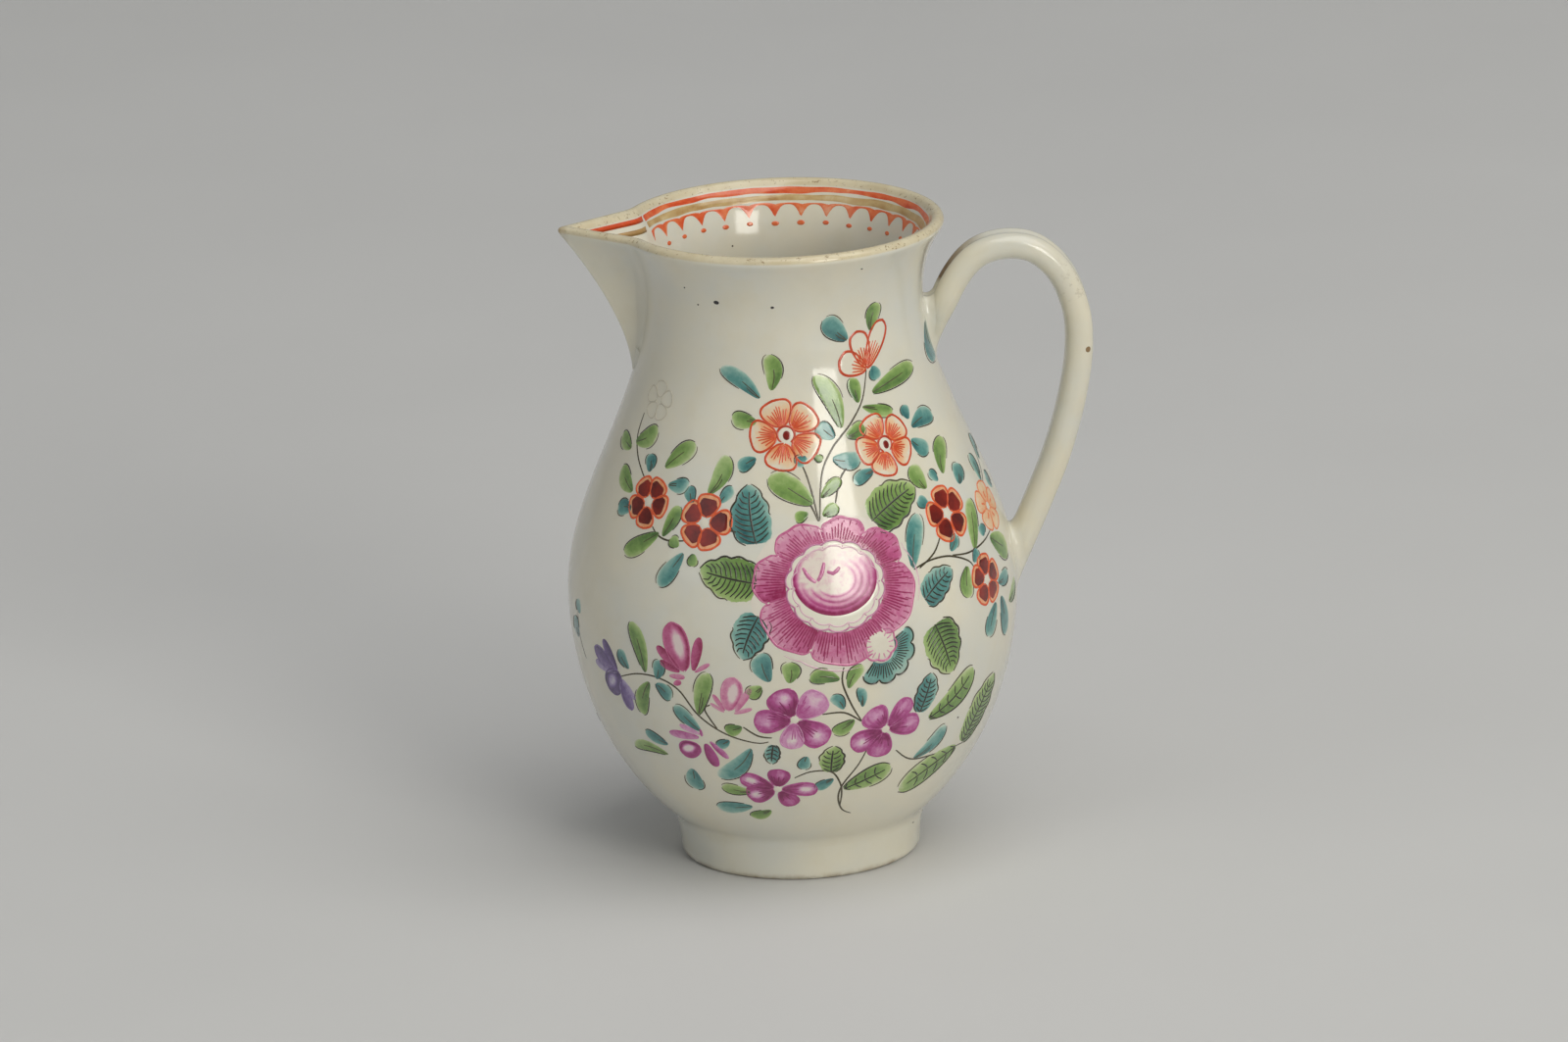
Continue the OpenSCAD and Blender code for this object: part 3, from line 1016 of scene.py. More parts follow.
def leaf(start, end, width, kind):
    """A painted leaf from its stalk to its tip. Kind g is green and t is teal. A capital is a broad,
    toothed leaf with veins, and a star after it is a heart shape whose widest place is by the stalk.
    The width is as it looks from the front, so a leaf that is round the side is painted wider."""
    colour = "green_leaves" if kind[0] in "gG" else "teal_leaves"
    chart = Chart(*start)
    tip = chart.local(*end)
    length = tip.length
    broad = kind[0].isupper()
    side = random.choice((-1, 1))
    bend = random.uniform(-0.1, 0.1) * length
    turned_away = 1 / max(math.cos(math.radians(start[0])), 0.5) if abs(start[0]) < 90 else 1.0
    width *= (1.0 if broad else 1.1) * (1 + (turned_away - 1) * 0.9 * abs(tip.y) / length)
    if broad and length > LONG_LEAF * width:
        shape = blade((0, 0), tip, width * 1.15, SMALL_LEAF, bend)
    elif broad:
        outline = HEART_LEAF if kind.endswith("*") else BROAD_LEAF
        shape = blade((0, 0), tip, width, outline, bend * 0.5, teeth=4)
    else:
        shape = blade((0, 0), tip, width, SMALL_LEAF, bend)
    heavy = random.uniform(0.5, 0.68)

    def density(s, w):
        pool = heavy + 0.22 * (1 - s) + 0.2 * side * w
        return pool - 0.55 * max(0.0, abs(w) - 0.55) - 0.35 * max(0.0, s - 0.82) / 0.18

    fill(colour, chart, shape, density)
    line, spread = (0.32, 0.97) if broad else (0.2, 1.02)
    start_at = 0.02 if broad else random.uniform(0.0, 0.5)
    stroke("ink_lines", chart, edge_points(shape, side, start_at, 0.99, spread), line, 0.8)
    if broad or random.random() < 0.5:
        stroke("ink_lines", chart, edge_points(shape, -side, 0.45, 0.99, spread), line * 0.8, 0.55)
    if broad:
        leaf_veins(chart, shape, length, width)
    elif length > 2.2:
        veins = ((0.05 * side, random.uniform(0.45, 0.75)), (0.3 * side, random.uniform(0.35, 0.5)))
        for w, reach in veins[:random.choice((1, 1, 2))]:
            line = [shape(0.02, 0), shape(reach * 0.55, w * 1.4), shape(reach, w)]
            stroke("ink_lines", chart, line, 0.22, 0.55)


def leaf_veins(chart, shape, length, width):
    """A midrib, and hatched veins that run forward from it on both sides."""
    stroke("ink_lines", chart, [shape(0.02 + 0.86 * i / 4, 0) for i in range(5)], 0.36, 0.85, TOUCH_LIFT)
    spacing = 0.9 if length < LONG_LEAF * width else 1.9
    count = max(4, round(length / spacing))
    for i in range(count):
        s = 0.05 + 0.8 * i / count
        for w in (-1, 1):
            ahead = min(s + 0.2 * width / length, 0.95)
            line = [shape(s, 0.0), shape(s + 0.3 * (ahead - s), 0.42 * w), shape(ahead, 0.8 * w)]
            stroke("ink_lines", chart, line, 0.27, random.uniform(0.7, 0.95), TOUCH_LIFT, taper=0.45)


def fan_leaf(degrees, z, inner, outer, low, high, scallops):
    """A leaf seen from its edge, folded round the flower: a hatched and scalloped fan."""
    chart = Chart(degrees, z)

    def reach(t):
        return outer * (0.87 + 0.13 * abs(math.sin(math.pi * scallops * t)) ** 0.6)

    def place(s, t):
        a = math.radians(low + (high - low) * t)
        r = inner + (reach(t) - inner) * s
        return Vector((r * math.cos(a), r * math.sin(a)))

    def density(s, t):
        return 0.75 - 0.35 * s + 0.15 * math.sin(9 * t)

    over = 0.04                 # the fan lies over the rose's edge
    hatches = 26
    paint("teal_leaves").lay(chart, 8, 60, place, density, LINE_LIFT + over)
    edge = [place(1.02, i / 40) for i in range(41)]
    stroke("ink_lines", chart, edge, 0.3, 0.8, TOUCH_LIFT + over, taper=0.6)
    for i in range(hatches):
        t = (i + 0.5) / hatches
        line = [place(0.02, t), place(random.uniform(0.75, 0.9), t)]
        stroke("ink_lines", chart, line, 0.3, 0.85, TOUCH_LIFT + over, taper=0.5)


def ray(turn, reach):
    """A flat place at a bearing and a distance."""
    return Vector((reach * math.cos(turn), reach * math.sin(turn)))


def orange_flower(degrees, z, radius, turn=90):
    """Petals in orange outline, with brush lines running out from a red eye in a small cream ring."""
    chart = Chart(degrees, z)
    for k in range(5):
        heading = math.radians(turn + 72 * k + random.uniform(-4, 4))
        shape = blade(ray(heading, radius * 0.24), ray(heading, radius), radius * 0.92, PETAL)
        fill("orange_wash", chart, shape, lambda s, w: 0.86 - 0.78 * s)
        rim_stroke("orange_lines", chart, shape, 0.4, 0.75, 0.95)
        for i in range(8):
            w = (i - 3.5) / 4.4
            line = [shape(0.02, w), shape(random.uniform(0.68, 0.9) - 0.2 * abs(w), w * 0.85)]
            stroke("orange_lines", chart, line, 0.3, 0.7, taper=0.3)
    dot("cream_touches", chart, (0, 0), radius * 0.24, 0.2, WASH_LIFT + 0.03)
    ring = [ray(math.radians(-60 + 300 * i / 12), radius * 0.24) for i in range(13)]
    stroke("orange_lines", chart, ring, 0.4, 0.85, TOUCH_LIFT, taper=0.6)
    dot("red_petals", chart, (0.1, -0.1), radius * 0.17, 0.8, TOUCH_LIFT + 0.02, squash=0.8)


def red_flower(degrees, z, radius, turn=90):
    """Deep red blots for petals, each in an orange outline, round a cream eye."""
    chart = Chart(degrees, z)
    for k in range(5):
        heading = math.radians(turn + 72 * k + random.uniform(-5, 5))
        reach = radius * random.uniform(0.94, 1.06)
        shape = blade(ray(heading, radius * 0.2), ray(heading, reach), radius * 0.88, PETAL)
        fill("orange_wash", chart, shape, lambda s, w: 0.66 - 0.1 * s, UNDER_LIFT)
        rim_stroke("orange_lines", chart, shape, 0.36, 0.6, 0.97)
        blot = blade(ray(heading, radius * 0.17), ray(heading, reach * 0.9), radius * 0.82, PETAL)
        deep = random.uniform(0.72, 0.95)
        fill("red_petals", chart, blot, lambda s, w, deep=deep: deep + 0.15 * w, rows=10, cols=8)
    dot("cream_touches", chart, (0, 0), radius * 0.16, 0.3, EYE_LIFT)


def faint_flower(degrees, z, radius):
    """A flower in thin orange wash and line, with few brush marks."""
    chart = Chart(degrees, z)
    for k in range(5):
        heading = math.radians(80 + 72 * k)
        shape = blade(ray(heading, radius * 0.15), ray(heading, radius), radius * 0.88, PETAL)
        fill("orange_wash", chart, shape, lambda s, w: 0.6 - 0.35 * s)
        rim_stroke("orange_lines", chart, shape, 0.3, 0.35)
        stroke("orange_lines", chart, [shape(0.1, 0), shape(0.6, 0.1)], 0.5, 0.45)


def rubbed_flower(degrees, z):
    """What is left of a flower that has been rubbed off: thin outlines."""
    chart = Chart(degrees, z)
    for k in range(5):
        heading = math.radians(90 + 72 * k)
        petal = blade(ray(heading, 0.5), ray(heading, 2.8), 2.3, PETAL)
        rim_stroke("rubbed_lines", chart, petal, 0.2, 0.3)


def tulip(degrees, z, petals):
    """A flower seen from the side, in orange outline: petals are (tip across, tip up, width)."""
    chart = Chart(degrees, z)
    for across, up, width in petals:
        shape = blade((0, 0), (across, up), width, PETAL)
        fill("orange_wash", chart, shape, lambda s, w: 0.6 - 0.9 * s)
        rim_stroke("orange_lines", chart, shape, 0.44, 0.8)
        for i in range(5):
            w = (i - 2) / 2.8
            line = [shape(0.04, w), shape(0.62 - 0.1 * abs(w), w)]
            stroke("orange_lines", chart, line, 0.3, 0.7, taper=0.3)


def puce_flower(degrees, z, petals):
    """Broad purple petals round a cream eye. Each is (heading, reach, width, depth of colour, how bare
    its middle is): the brush has left paler or bare places in the petals' middles."""
    chart = Chart(degrees, z)
    for turn, reach, width, deep, bare in petals:
        heading = math.radians(turn)
        shape = blade(ray(heading, 0.5), ray(heading, reach), width, PETAL)
        lean = random.uniform(-0.25, 0.25)

        def density(s, w, turn=turn, deep=deep, bare=bare, lean=lean):
            streak = 0.16 * noise.noise(Vector((w * 5, s * 1.2, turn)))
            spot = math.exp(-(((s - 0.68) / 0.2) ** 2 + ((w - lean) / 0.42) ** 2) ** 1.3)
            edge = 0.14 * max(0.0, abs(w) - 0.6) / 0.4
            return deep * (0.68 + 0.5 * math.exp(-(s / 0.4) ** 2)) + edge + streak - 0.62 * bare * spot

        fill("puce_petals", chart, shape, density, rows=18, cols=13)
        rim_stroke("puce_petals", chart, shape, 0.3, min(1.0, deep * 0.75), 0.98, taper=0.5)
        for i in range(7):
            w = (i - 3) / 3.6
            line = [shape(0.03, w), shape(random.uniform(0.3, 0.72), w * 0.95 + lean * 0.3)]
            stroke("puce_petals", chart, line, 0.3, min(1.0, deep * 0.9 + 0.12), taper=0.3)
    dot("cream_touches", chart, (0, 0), 0.62, 0.25)


def brushed_petals(colour, degrees, z, petals):
    """A bud or side flower in single brush marks: each is (base, tip, width, depth, how bare inside)."""
    chart = Chart(degrees, z)
    for base, tip, width, deep, bare in petals:
        shape = blade(base, tip, width, BRUSH_MARK)

        def density(s, w, deep=deep, bare=bare):
            hollow = bare * math.exp(-(((s - 0.55) / 0.33) ** 2 + ((w + 0.2) / 0.5) ** 2) ** 1.8)
            return deep * (1.05 - 0.25 * w) - hollow - 0.2 * max(0.0, s - 0.8)

        fill(colour, chart, shape, density, rows=16, cols=11)
        if width > 2:
            rim_stroke(colour, chart, shape, 0.28, deep * 0.8, taper=0.5)


ROSE_PETALS = (                 # first and last bearing, and the depth of colour at each end
    (20, 62, 0.76, 0.6), (61, 98, 0.68, 0.45), (97, 142, 0.45, 0.6), (141, 188, 0.52, 1.0),
    (187, 246, 0.5, 0.88), (245, 312, 0.6, 0.6), (311, 381, 0.58, 0.68))

HEART_PETALS = (                # place from the middle out, width, depth, bearing, sweep round
    (0.93, 0.075, 0.95, 95, 0.75), (0.76, 0.05, 0.62, 65, 0.45), (0.6, 0.045, 0.55, 55, 0.4),
    (0.45, 0.04, 0.45, 45, 0.3))
HEART_CURLS = (                 # for a rose of size CURL_SIZE
    ((-4.4, 3.8), (-3.7, 2.3), (-2.5, 1.3)), ((-2.6, 1.5), (-1.9, 2.5), (-1.3, 4.3)),
    ((-1.3, 3.1), (-0.3, 2.5), (0.9, 3.5)))
CURL_SIZE = 10.7


def rose(degrees, z, size):
    """A cabbage rose: a pale frilled outer ring, hatched petals, a cream frill, and a heart of curled
    strokes that is lit from the upper left. size is the half width of the petal ring."""
    chart = Chart(degrees, z)

    def oval(bearing, rx, ry, up):
        a = math.radians(bearing)
        return Vector((rx * math.cos(a), ry * math.sin(a) + up)) * size

    def outer_frill(t):
        ripple = 1 + 0.06 * abs(math.cos(math.pi * 5 * t + 0.4)) ** 0.7
        return oval(360 * t, 1.08 * ripple, 0.955 * ripple, -0.02)

    def cream_frill(t, out=1.0):
        ripple = out * (1 + 0.08 * abs(math.sin(math.pi * 14 * t)) ** 0.6)
        return oval(360 * t, 0.6 * ripple, 0.54 * ripple, 0.07)

    def blush(s, t):
        return oval(360 * t, 0.7, 0.68, 0.04).lerp(outer_frill(t), s)

    paint("rose_blush").lay(chart, 8, 220, blush, lambda s, t: 0.3 - 0.34 * s, UNDER_LIFT, wrap=True)
    for low, high in ((-0.04, 0.09), (0.64, 0.79)):
        line = [outer_frill(low + (high - low) * i / 40) for i in range(41)]
        stroke("rose_blush", chart, line, 0.26, 0.45, WASH_LIFT, taper=0.2)

    for low, high, first, last in ROSE_PETALS:
        def place(s, t, low=low, high=high):
            bearing = low + (high - low) * t
            inner = oval(bearing, 0.63, 0.57, 0.06)
            ripple = 0.012 * math.sin(5 * math.pi * t + low)
            bulge = 0.86 + 0.18 * max(0.0, math.sin(math.pi * t)) ** 0.5 + ripple
            return inner.lerp(oval(bearing, 1.05 * bulge, 0.93 * bulge, -0.01), s)

        def density(s, t, first=first, last=last):
            blotch = 0.12 * noise.noise(Vector((t * 7 + first * 9, s * 3, last)))
            return first + (last - first) * t ** 2.5 + 0.22 * (1 - s) ** 2 - 0.16 * s + blotch

        paint("rose_petals").lay(chart, 9, 30, place, density, WASH_LIFT + 0.01)
        rays = round((high - low) / 2.7)
        for i in range(rays):
            t = (i + 0.5) / rays
            low_s, high_s = random.uniform(0.0, 0.08), random.uniform(0.45, 0.88)
            tone = min(1.0, 0.36 + density(0.5, t))
            hatch = [place(low_s, t), place(high_s, t)]
            stroke("rose_petals", chart, hatch, 0.32, tone, HATCH_LIFT, taper=0.3)
        for i in range(rays // 2):
            t = (i + random.uniform(0.3, 0.7)) / (rays // 2)
            tone = min(1.0, 0.25 + density(0.5, t))
            hatch = [place(0.97, t), place(random.uniform(0.55, 0.75), t)]
            stroke("rose_petals", chart, hatch, 0.26, tone, HATCH_LIFT, taper=0.3)
        rim = [place(0.96, i / 16) for i in range(17)]
        stroke("rose_petals", chart, rim, 0.42, 0.6, TOUCH_LIFT, taper=0.5)
        fold = [place(0.2, 0.0), place(0.97, 0.0)]
        stroke("rose_petals", chart, fold, 0.42, 0.75, LINE_LIFT + 0.015, taper=0.3)

    def cream_ring(s, t):
        return oval(360 * t, 0.5, 0.42, 0.14).lerp(cream_frill(t), s)

    paint("cream_touches").lay(chart, 6, 180, cream_ring, lambda s, t: 0.1, LINE_LIFT, wrap=True)
    for out, dens in ((1.0, 0.85), (0.88, 0.5)):
        line = [cream_frill(i / 150, out) for i in range(151)]
        stroke("rose_blush", chart, line, 0.26, dens, TOUCH_LIFT + 0.04, taper=0.9)
    for k in range(14):
        line = [cream_frill(k / 14, 1.0), cream_frill(k / 14, 0.89)]
        stroke("rose_blush", chart, line, 0.26, 0.75, TOUCH_LIFT + 0.04)

    def heart(s, t):
        return oval(360 * t, 0.56 * s, 0.46 * s, 0.15)

    def heart_density(s, t):
        """A pale ball with curled petals lapped round its lower right, each a dark edge on a wash."""
        depth = 0.12 + 0.1 * noise.noise(Vector((s * 3, t * 9, 4)))
        for share, width, deep, turn, sweep in HEART_PETALS:
            facing = max(0.0, (math.cos(math.radians(360 * t + turn)) + sweep) / (1 + sweep))
            beyond = s - share
            edge = math.exp(-(beyond / width) ** 2)
            wash = 0.3 * math.exp(-max(0.0, beyond) / 0.14) if beyond > 0 else 0.0
            depth += (deep * edge + wash) * facing ** 0.6
        return min(1.0, depth)

    paint("rose_heart").lay(chart, 34, 120, heart, heart_density, TOUCH_LIFT, True, True)
    scale = size / CURL_SIZE
    for curl in HEART_CURLS:
        line = [Vector(p) * scale for p in curl]
        stroke("rose_heart", chart, line, 0.85 * scale, 0.55, TOUCH_LIFT + 0.06, taper=0.25)


def folded_petal(degrees, z, radius):
    """A cream petal turned down over the rose's edge, with a lobed puce outline."""
    chart = Chart(degrees, z)
    over = TOUCH_LIFT + 0.06
    dot("cream_touches", chart, (0, 0), radius, 0.3, LINE_LIFT + 0.03, squash=1.1)
    lobes = []
    for i in range(49):
        t = i / 48
        lobes.append(ray(math.radians(-215 + 290 * t), radius + 0.3 * abs(math.sin(math.pi * 5 * t))))
    stroke("rose_petals", chart, lobes, 0.34, 0.55, over, taper=0.4)
    for turn in range(-200, 61, 26):
        a = math.radians(turn)
        stroke("rose_petals", chart, [ray(a, radius), ray(a, 1.0)], 0.3, 0.4, over, taper=0.3)


def stem(places):
    """A thin brown line through places on the jug, low enough for petals to cover its ends."""
    chart = Chart(*places[0])
    stroke("ink_lines", chart, [chart.local(*p) for p in places], 0.36, 0.6, STEM_LIFT, taper=0.5)


# ---- Where everything is painted: places are (degrees from the front towards the handle, height) ----

CROWN_LEAVES = (                # stalk, tip, width, kind
    ((35, 77.5), (39, 81.5), 1.9, "g"), ((24, 77), (14, 80.5), 2.6, "t"),
    ((34, 73), (35, 71), 1.6, "t"), ((31, 69.5), (57, 71.5), 2.4, "g"),
    ((25, 68.5), (24, 72), 1.7, "g"), ((26, 68), (39, 66.5), 1.6, "g"),
    ((17, 65.5), (9, 73), 2.6, "g"), ((18, 64.5), (26, 65.8), 2, "g"),
    ((14, 64.5), (8.5, 66.5), 2.2, "t"), ((12, 62), (22, 61.5), 2.4, "t"),
    ((45, 64), (59, 64.5), 2.4, "t"), ((45, 65), (45, 67), 1.2, "t"),
    ((43, 62.5), (50, 60.5), 2, "t"), ((26, 60), (18, 58.6), 1.6, "t"),
    ((-8, 71), (-9, 76), 2.4, "g"), ((-12, 70), (-29, 74), 2.2, "t"),
    ((-13, 67), (-23, 67.5), 2.2, "g"), ((-13, 62.5), (-19, 61), 1.8, "t"),
    ((4, 62.5), (0, 61.5), 1.6, "t"), ((6, 62.6), (9, 62), 1, "g"),
    ((5, 56.5), (-9, 60.3), 3.4, "g"), ((3, 55.5), (-1, 54.6), 1.5, "g"),
    ((7, 57.2), (14, 59.5), 1.6, "g"), ((7, 55), (12, 56.2), 1.7, "g"))
ROSE_LEAVES = (
    ((21, 53.5), (39, 57), 6.4, "G*"), ((-12, 51.5), (-15, 59.3), 6.0, "T*"),
    ((31, 46.5), (37, 53.5), 2.3, "t"), ((33, 42.2), (44, 45.5), 4.4, "T*"),
    ((35.5, 38.8), (42, 30.8), 5.8, "G*"), ((-11, 46.6), (-28, 48), 6.6, "G*"),
    ((-11, 42.6), (-16, 36.2), 5.4, "T*"), ((-9, 33), (-11, 37.3), 2.8, "t"),
    ((-4, 32.8), (-4, 36), 2.4, "g"))
SIDE_LEAVES = (
    ((43, 56), (40, 59.5), 2, "g"), ((52, 57), (59, 61.5), 1.8, "g"),
    ((58, 55), (62, 57.5), 1.6, "t"), ((49, 56.5), (46, 58), 1.1, "t"),
    ((42, 54), (38, 55), 1.5, "t"), ((54.8, 46.3), (60.5, 53), 1.7, "g"),
    ((61, 47.5), (61, 49.2), 1, "t"), ((45, 47.5), (49, 49.3), 1.2, "t"),
    ((53, 45), (56, 46.5), 1.1, "t"), ((50, 45), (48.5, 40.6), 1.7, "g"),
    ((64, 47), (75, 43.5), 2.4, "g"), ((63, 40.8), (71, 41), 2, "t"),
    ((64, 38.8), (69, 32.5), 1.5, "t"), ((61, 38.4), (57, 33.8), 1.6, "t"),
    ((73, 53.5), (72, 57.5), 1.2, "t"), ((81, 55.5), (84, 59), 1.3, "t"),
    ((82, 51.5), (79, 54), 1.2, "t"), ((79, 75.6), (82, 69.8), 3.3, "t"),
    ((70, 37), (78, 39), 1.8, "g"))
LEFT_LEAVES = (
    ((-64, 62), (-53, 64.5), 1.9, "g"), ((-65, 61), (-75, 62), 1.8, "g"),
    ((-52, 59), (-54, 61.3), 1.3, "t"), ((-46, 60), (-35, 63.7), 2.1, "g"),
    ((-57, 56), (-67, 58.5), 1.9, "g"), ((-43, 58), (-35, 58.6), 1.9, "t"),
    ((-55, 54), (-62, 53.5), 2, "t"), ((-41, 51.5), (-37, 55.8), 1.6, "g"),
    ((-42, 52), (-54, 48.3), 2, "g"), ((-28, 57.5), (-23, 62.8), 2.3, "g"),
    ((-33, 56.2), (-35, 58.4), 1.5, "t"), ((-24, 56.6), (-20, 58.8), 1.5, "t"),
    ((-35, 50.6), (-38, 51.6), 1.5, "g"), ((-33, 50), (-40, 45.2), 2.1, "t"),
    ((-30, 50), (-30, 48.3), 1.3, "g"))
LOW_LEAVES = (
    ((9, 33), (1, 33.6), 2.1, "g"), ((11, 31.5), (15, 34.8), 1.8, "g"),
    ((10, 28.5), (6.5, 30.7), 1.6, "t"), ((15, 28.5), (14, 31.6), 1.3, "t"),
    ((13, 26.8), (7, 25), 1.9, "g"), ((32, 26), (35, 31.8), 3.4, "T"),
    ((35, 24.8), (51, 30.5), 3.3, "G"), ((54, 18.5), (63, 28), 4.2, "G"),
    ((33, 18.8), (43, 23), 2.2, "t"), ((52, 18.6), (31, 13.8), 3.7, "G"),
    ((11, 15.6), (26, 18.4), 3.3, "G"), ((7, 18.6), (7.5, 23), 3.8, "G"),
    ((8, 17.6), (2.5, 16), 1.7, "t"), ((0, 21.6), (-1, 19.4), 1.7, "t"),
    ((-9, 23.6), (-10, 20.4), 2.3, "T"), ((-21, 24), (-25, 22.9), 1.4, "t"),
    ((-17, 26.2), (-22, 25.5), 1.8, "g"), ((-15, 23), (-27, 17.7), 2.6, "t"),
    ((-29, 25), (-36, 28.6), 1.9, "t"), ((-41, 31.4), (-36.5, 29.4), 1.8, "t"),
    ((-40.5, 32), (-39, 35), 1.5, "t"), ((-44, 32.5), (-48, 39.8), 1.9, "g"),
    ((-50, 32.5), (-53, 35.2), 1.3, "t"), ((-43, 31.5), (-48, 26), 1.8, "g"),
    ((-29, 27.5), (-25, 34.2), 2.1, "g"), ((-11, 32.4), (-15, 31), 1.9, "g"),
    ((-41, 22), (-49, 23.3), 1.6, "t"), ((-76, 33.6), (-78, 36.6), 1.6, "t"),
    ((-73, 37.5), (-75, 39.4), 1.2, "t"), ((-42, 20.3), (-57, 20.3), 1.8, "g"),
    ((-35, 18.7), (-37, 15), 2.3, "t"), ((-17, 15.6), (-27, 16.2), 1.9, "g"),
    ((-18, 13), (-32, 12.2), 2.4, "t"), ((-12, 12.4), (-20, 11), 1.9, "g"))
STEMS = (
    ((6, 54), (8, 60), (12, 63), (16, 64.6), (21, 66.3), (27, 69), (31, 72.8)),
    ((11, 56), (14, 59.5), (18.5, 61.2), (23.6, 61.9)), ((6, 54), (4, 59), (2, 61.5)),
    ((6, 54), (3, 57), (-2, 58.5)), ((-12, 52.3), (-16, 53), (-20.8, 53.3)),
    ((-33, 51.5), (-39, 51.2), (-43, 51.7), (-45.5, 52.7)),
    ((-53, 58), (-60, 60.5), (-64, 63), (-64, 66)),
    ((31, 46.5), (37, 47.2), (44, 47), (51, 45.5), (53, 44)), ((33, 46.5), (39, 48), (43, 50)),
    ((45, 47), (52, 46.5), (60, 46.9), (66.4, 47.8)), ((10, 35), (9.5, 32.5), (12, 29), (15, 26.3)),
    ((4, 28), (10, 28), (15, 26.3)),
    ((-10, 24), (-14, 23.8), (-22, 25), (-29, 27.5), (-34, 31), (-40, 32.3), (-47, 32.2), (-54, 31)),
    ((-9, 24.6), (-13, 24.9), (-17, 26.3)), ((-24, 25.6), (-27, 28.5), (-25, 29.3)),
    ((17, 21.8), (15, 19.5), (11, 16.5), (10, 14.3), (12, 12), (16, 11)),
    ((-4, 18), (1, 19), (7, 18.8), (10, 16.8), (11, 14.8), (11, 12.4)),
    ((26, 21), (32, 18.9), (41, 18.5), (57, 18.5)), ((73, 53), (78, 55), (82, 59)),
    ((-72, 31), (-75, 34.5), (-74.5, 38.5)))


def bouquet():
    """The flowers seen from the front, laid round the rose."""
    for places in STEMS:
        stem(places)
    for group in (CROWN_LEAVES, ROSE_LEAVES, SIDE_LEAVES, LEFT_LEAVES, LOW_LEAVES):
        for item in group:
            leaf(*item)
    rose(9, 45.2, 10.7)
    folded_petal(19.5, 37.4, 2.2)
    fan_leaf(20, 36.6, 1.9, 5.0, -128, 36, 5)
    orange_flower(-3, 65.4, 4.9, 112)
    orange_flower(32, 62.8, 4.4, 112)
    tulip(31, 72.8, ((-0.9, 5.2, 2.9), (3.6, 6.0, 2.7), (-3.9, 1.6, 3.3)))
    red_flower(-49, 55.5, 3.7, 62)
    red_flower(-28, 54, 3.9, 80)
    red_flower(48, 52.3, 3.9, 96)
    red_flower(57.5, 42, 3.6, 88)
    faint_flower(70, 50.5, 3.6)
    puce_flower(-3, 27.4, (
        (118, 4.9, 4.3, 0.95, 0.8), (42, 5.4, 4.0, 0.55, 0.35), (184, 5.5, 3.6, 0.85, 0.4),
        (262, 4.7, 3.2, 0.5, 0.3), (-43, 5.7, 4.1, 0.85, 0.7)))
    puce_flower(22, 24.6, (
        (128, 4.2, 3.9, 0.8, 0.3), (50, 5.4, 2.7, 0.8, 0.2), (2, 5.2, 3.3, 0.85, 0.4),
        (-100, 4.5, 3.6, 0.9, 0.25), (204, 5.2, 3.5, 0.9, 0.8)))
    puce_flower(-9, 16.2, (
        (157, 5.4, 2.7, 0.9, 1.0), (82, 3.7, 3.0, 1.0, 0.35), (-2, 5.4, 2.6, 0.85, 0.9),
        (-58, 3.9, 2.6, 1.0, 0.2), (200, 4.5, 3.5, 1.0, 1.0)))
    brushed_petals("rose_petals", -31, 33.6, (
        ((-0.3, 0.2), (-2.2, 7.0), 3.9, 0.8, 0.95), ((-1.0, 0.3), (-4.7, 3.4), 1.6, 0.8, 0),
        ((-1, 0.1), (-4.4, 1.2), 1.3, 0.85, 0), ((1.0, 0.4), (2.3, 5.5), 1.6, 0.8, 0),
        ((1.2, 0.3), (3.6, 1.8), 0.7, 0.5, 0), ((-2.9, -0.7), (-0.3, -0.6), 0.9, 0.5, 0),
        ((-2.3, -1.9), (-1.0, -1.3), 0.9, 0.65, 0)))
    brushed_petals("rose_petals", -20.5, 28.4, (
        ((0, 0.2), (1.3, 5.2), 2.9, 0.55, 0.75), ((1.0, 0), (3.7, 4.0), 1.1, 0.45, 0),
        ((0.8, -0.2), (3.5, 0.7), 0.7, 0.4, 0), ((-0.4, 0.1), (-2.0, 2.6), 0.8, 0.5, 0),
        ((-0.5, -0.1), (-2.5, 1.2), 0.6, 0.4, 0)))
    brushed_petals("puce_petals", -29, 24.0, (
        ((-0.4, 0), (-5.4, 0.1), 1.4, 0.5, 0), ((-0.2, 0.5), (-3.4, 1.7), 1.0, 0.35, 0),
        ((-0.6, -1.6), (-4.0, -2.8), 2.8, 0.9, 1.0), ((0.3, -0.8), (1.2, -4.9), 1.9, 0.75, 0),
        ((1.0, -0.4), (3.3, -3.2), 1.1, 0.55, 0), ((-0.1, 1.5), (0, 0.2), 0.5, 0.6, 0)))
    brushed_petals("violet_petals", -54.5, 31.3, (
        ((-0.2, 0.4), (-3.0, 4.5), 1.9, 0.75, 0), ((-0.4, 0.2), (-5.6, 2.6), 2.3, 0.7, 0),
        ((0.1, 0.3), (-6.0, 0.4), 1.7, 0.45, 0), ((0.2, 0.2), (-3.2, -3.0), 3.6, 0.95, 0.8),
        ((0.3, -1.0), (1.2, -5.2), 2.1, 0.65, 0), ((0.6, -0.6), (2.7, -3.4), 1.2, 0.35, 0)))
    rubbed_flower(-57, 68)


def kiln_specks():
    """Two dark specks in the glaze of the neck, and a few small ones elsewhere."""
    SPRAY[0] = "glaze"
    for degrees, z, radius in (
            (-29.9, 82.9, 0.33), (-6.8, 82.5, 0.2), (28, 87.2, 0.13), (-44, 84.5, 0.12),
            (196, 80, 0.25), (230, 44, 0.2), (118, 24, 0.22)):
        dot("kiln_specks", Chart(degrees, z), (0, 0), radius, 0.9, WASH_LIFT, squash=1.4)


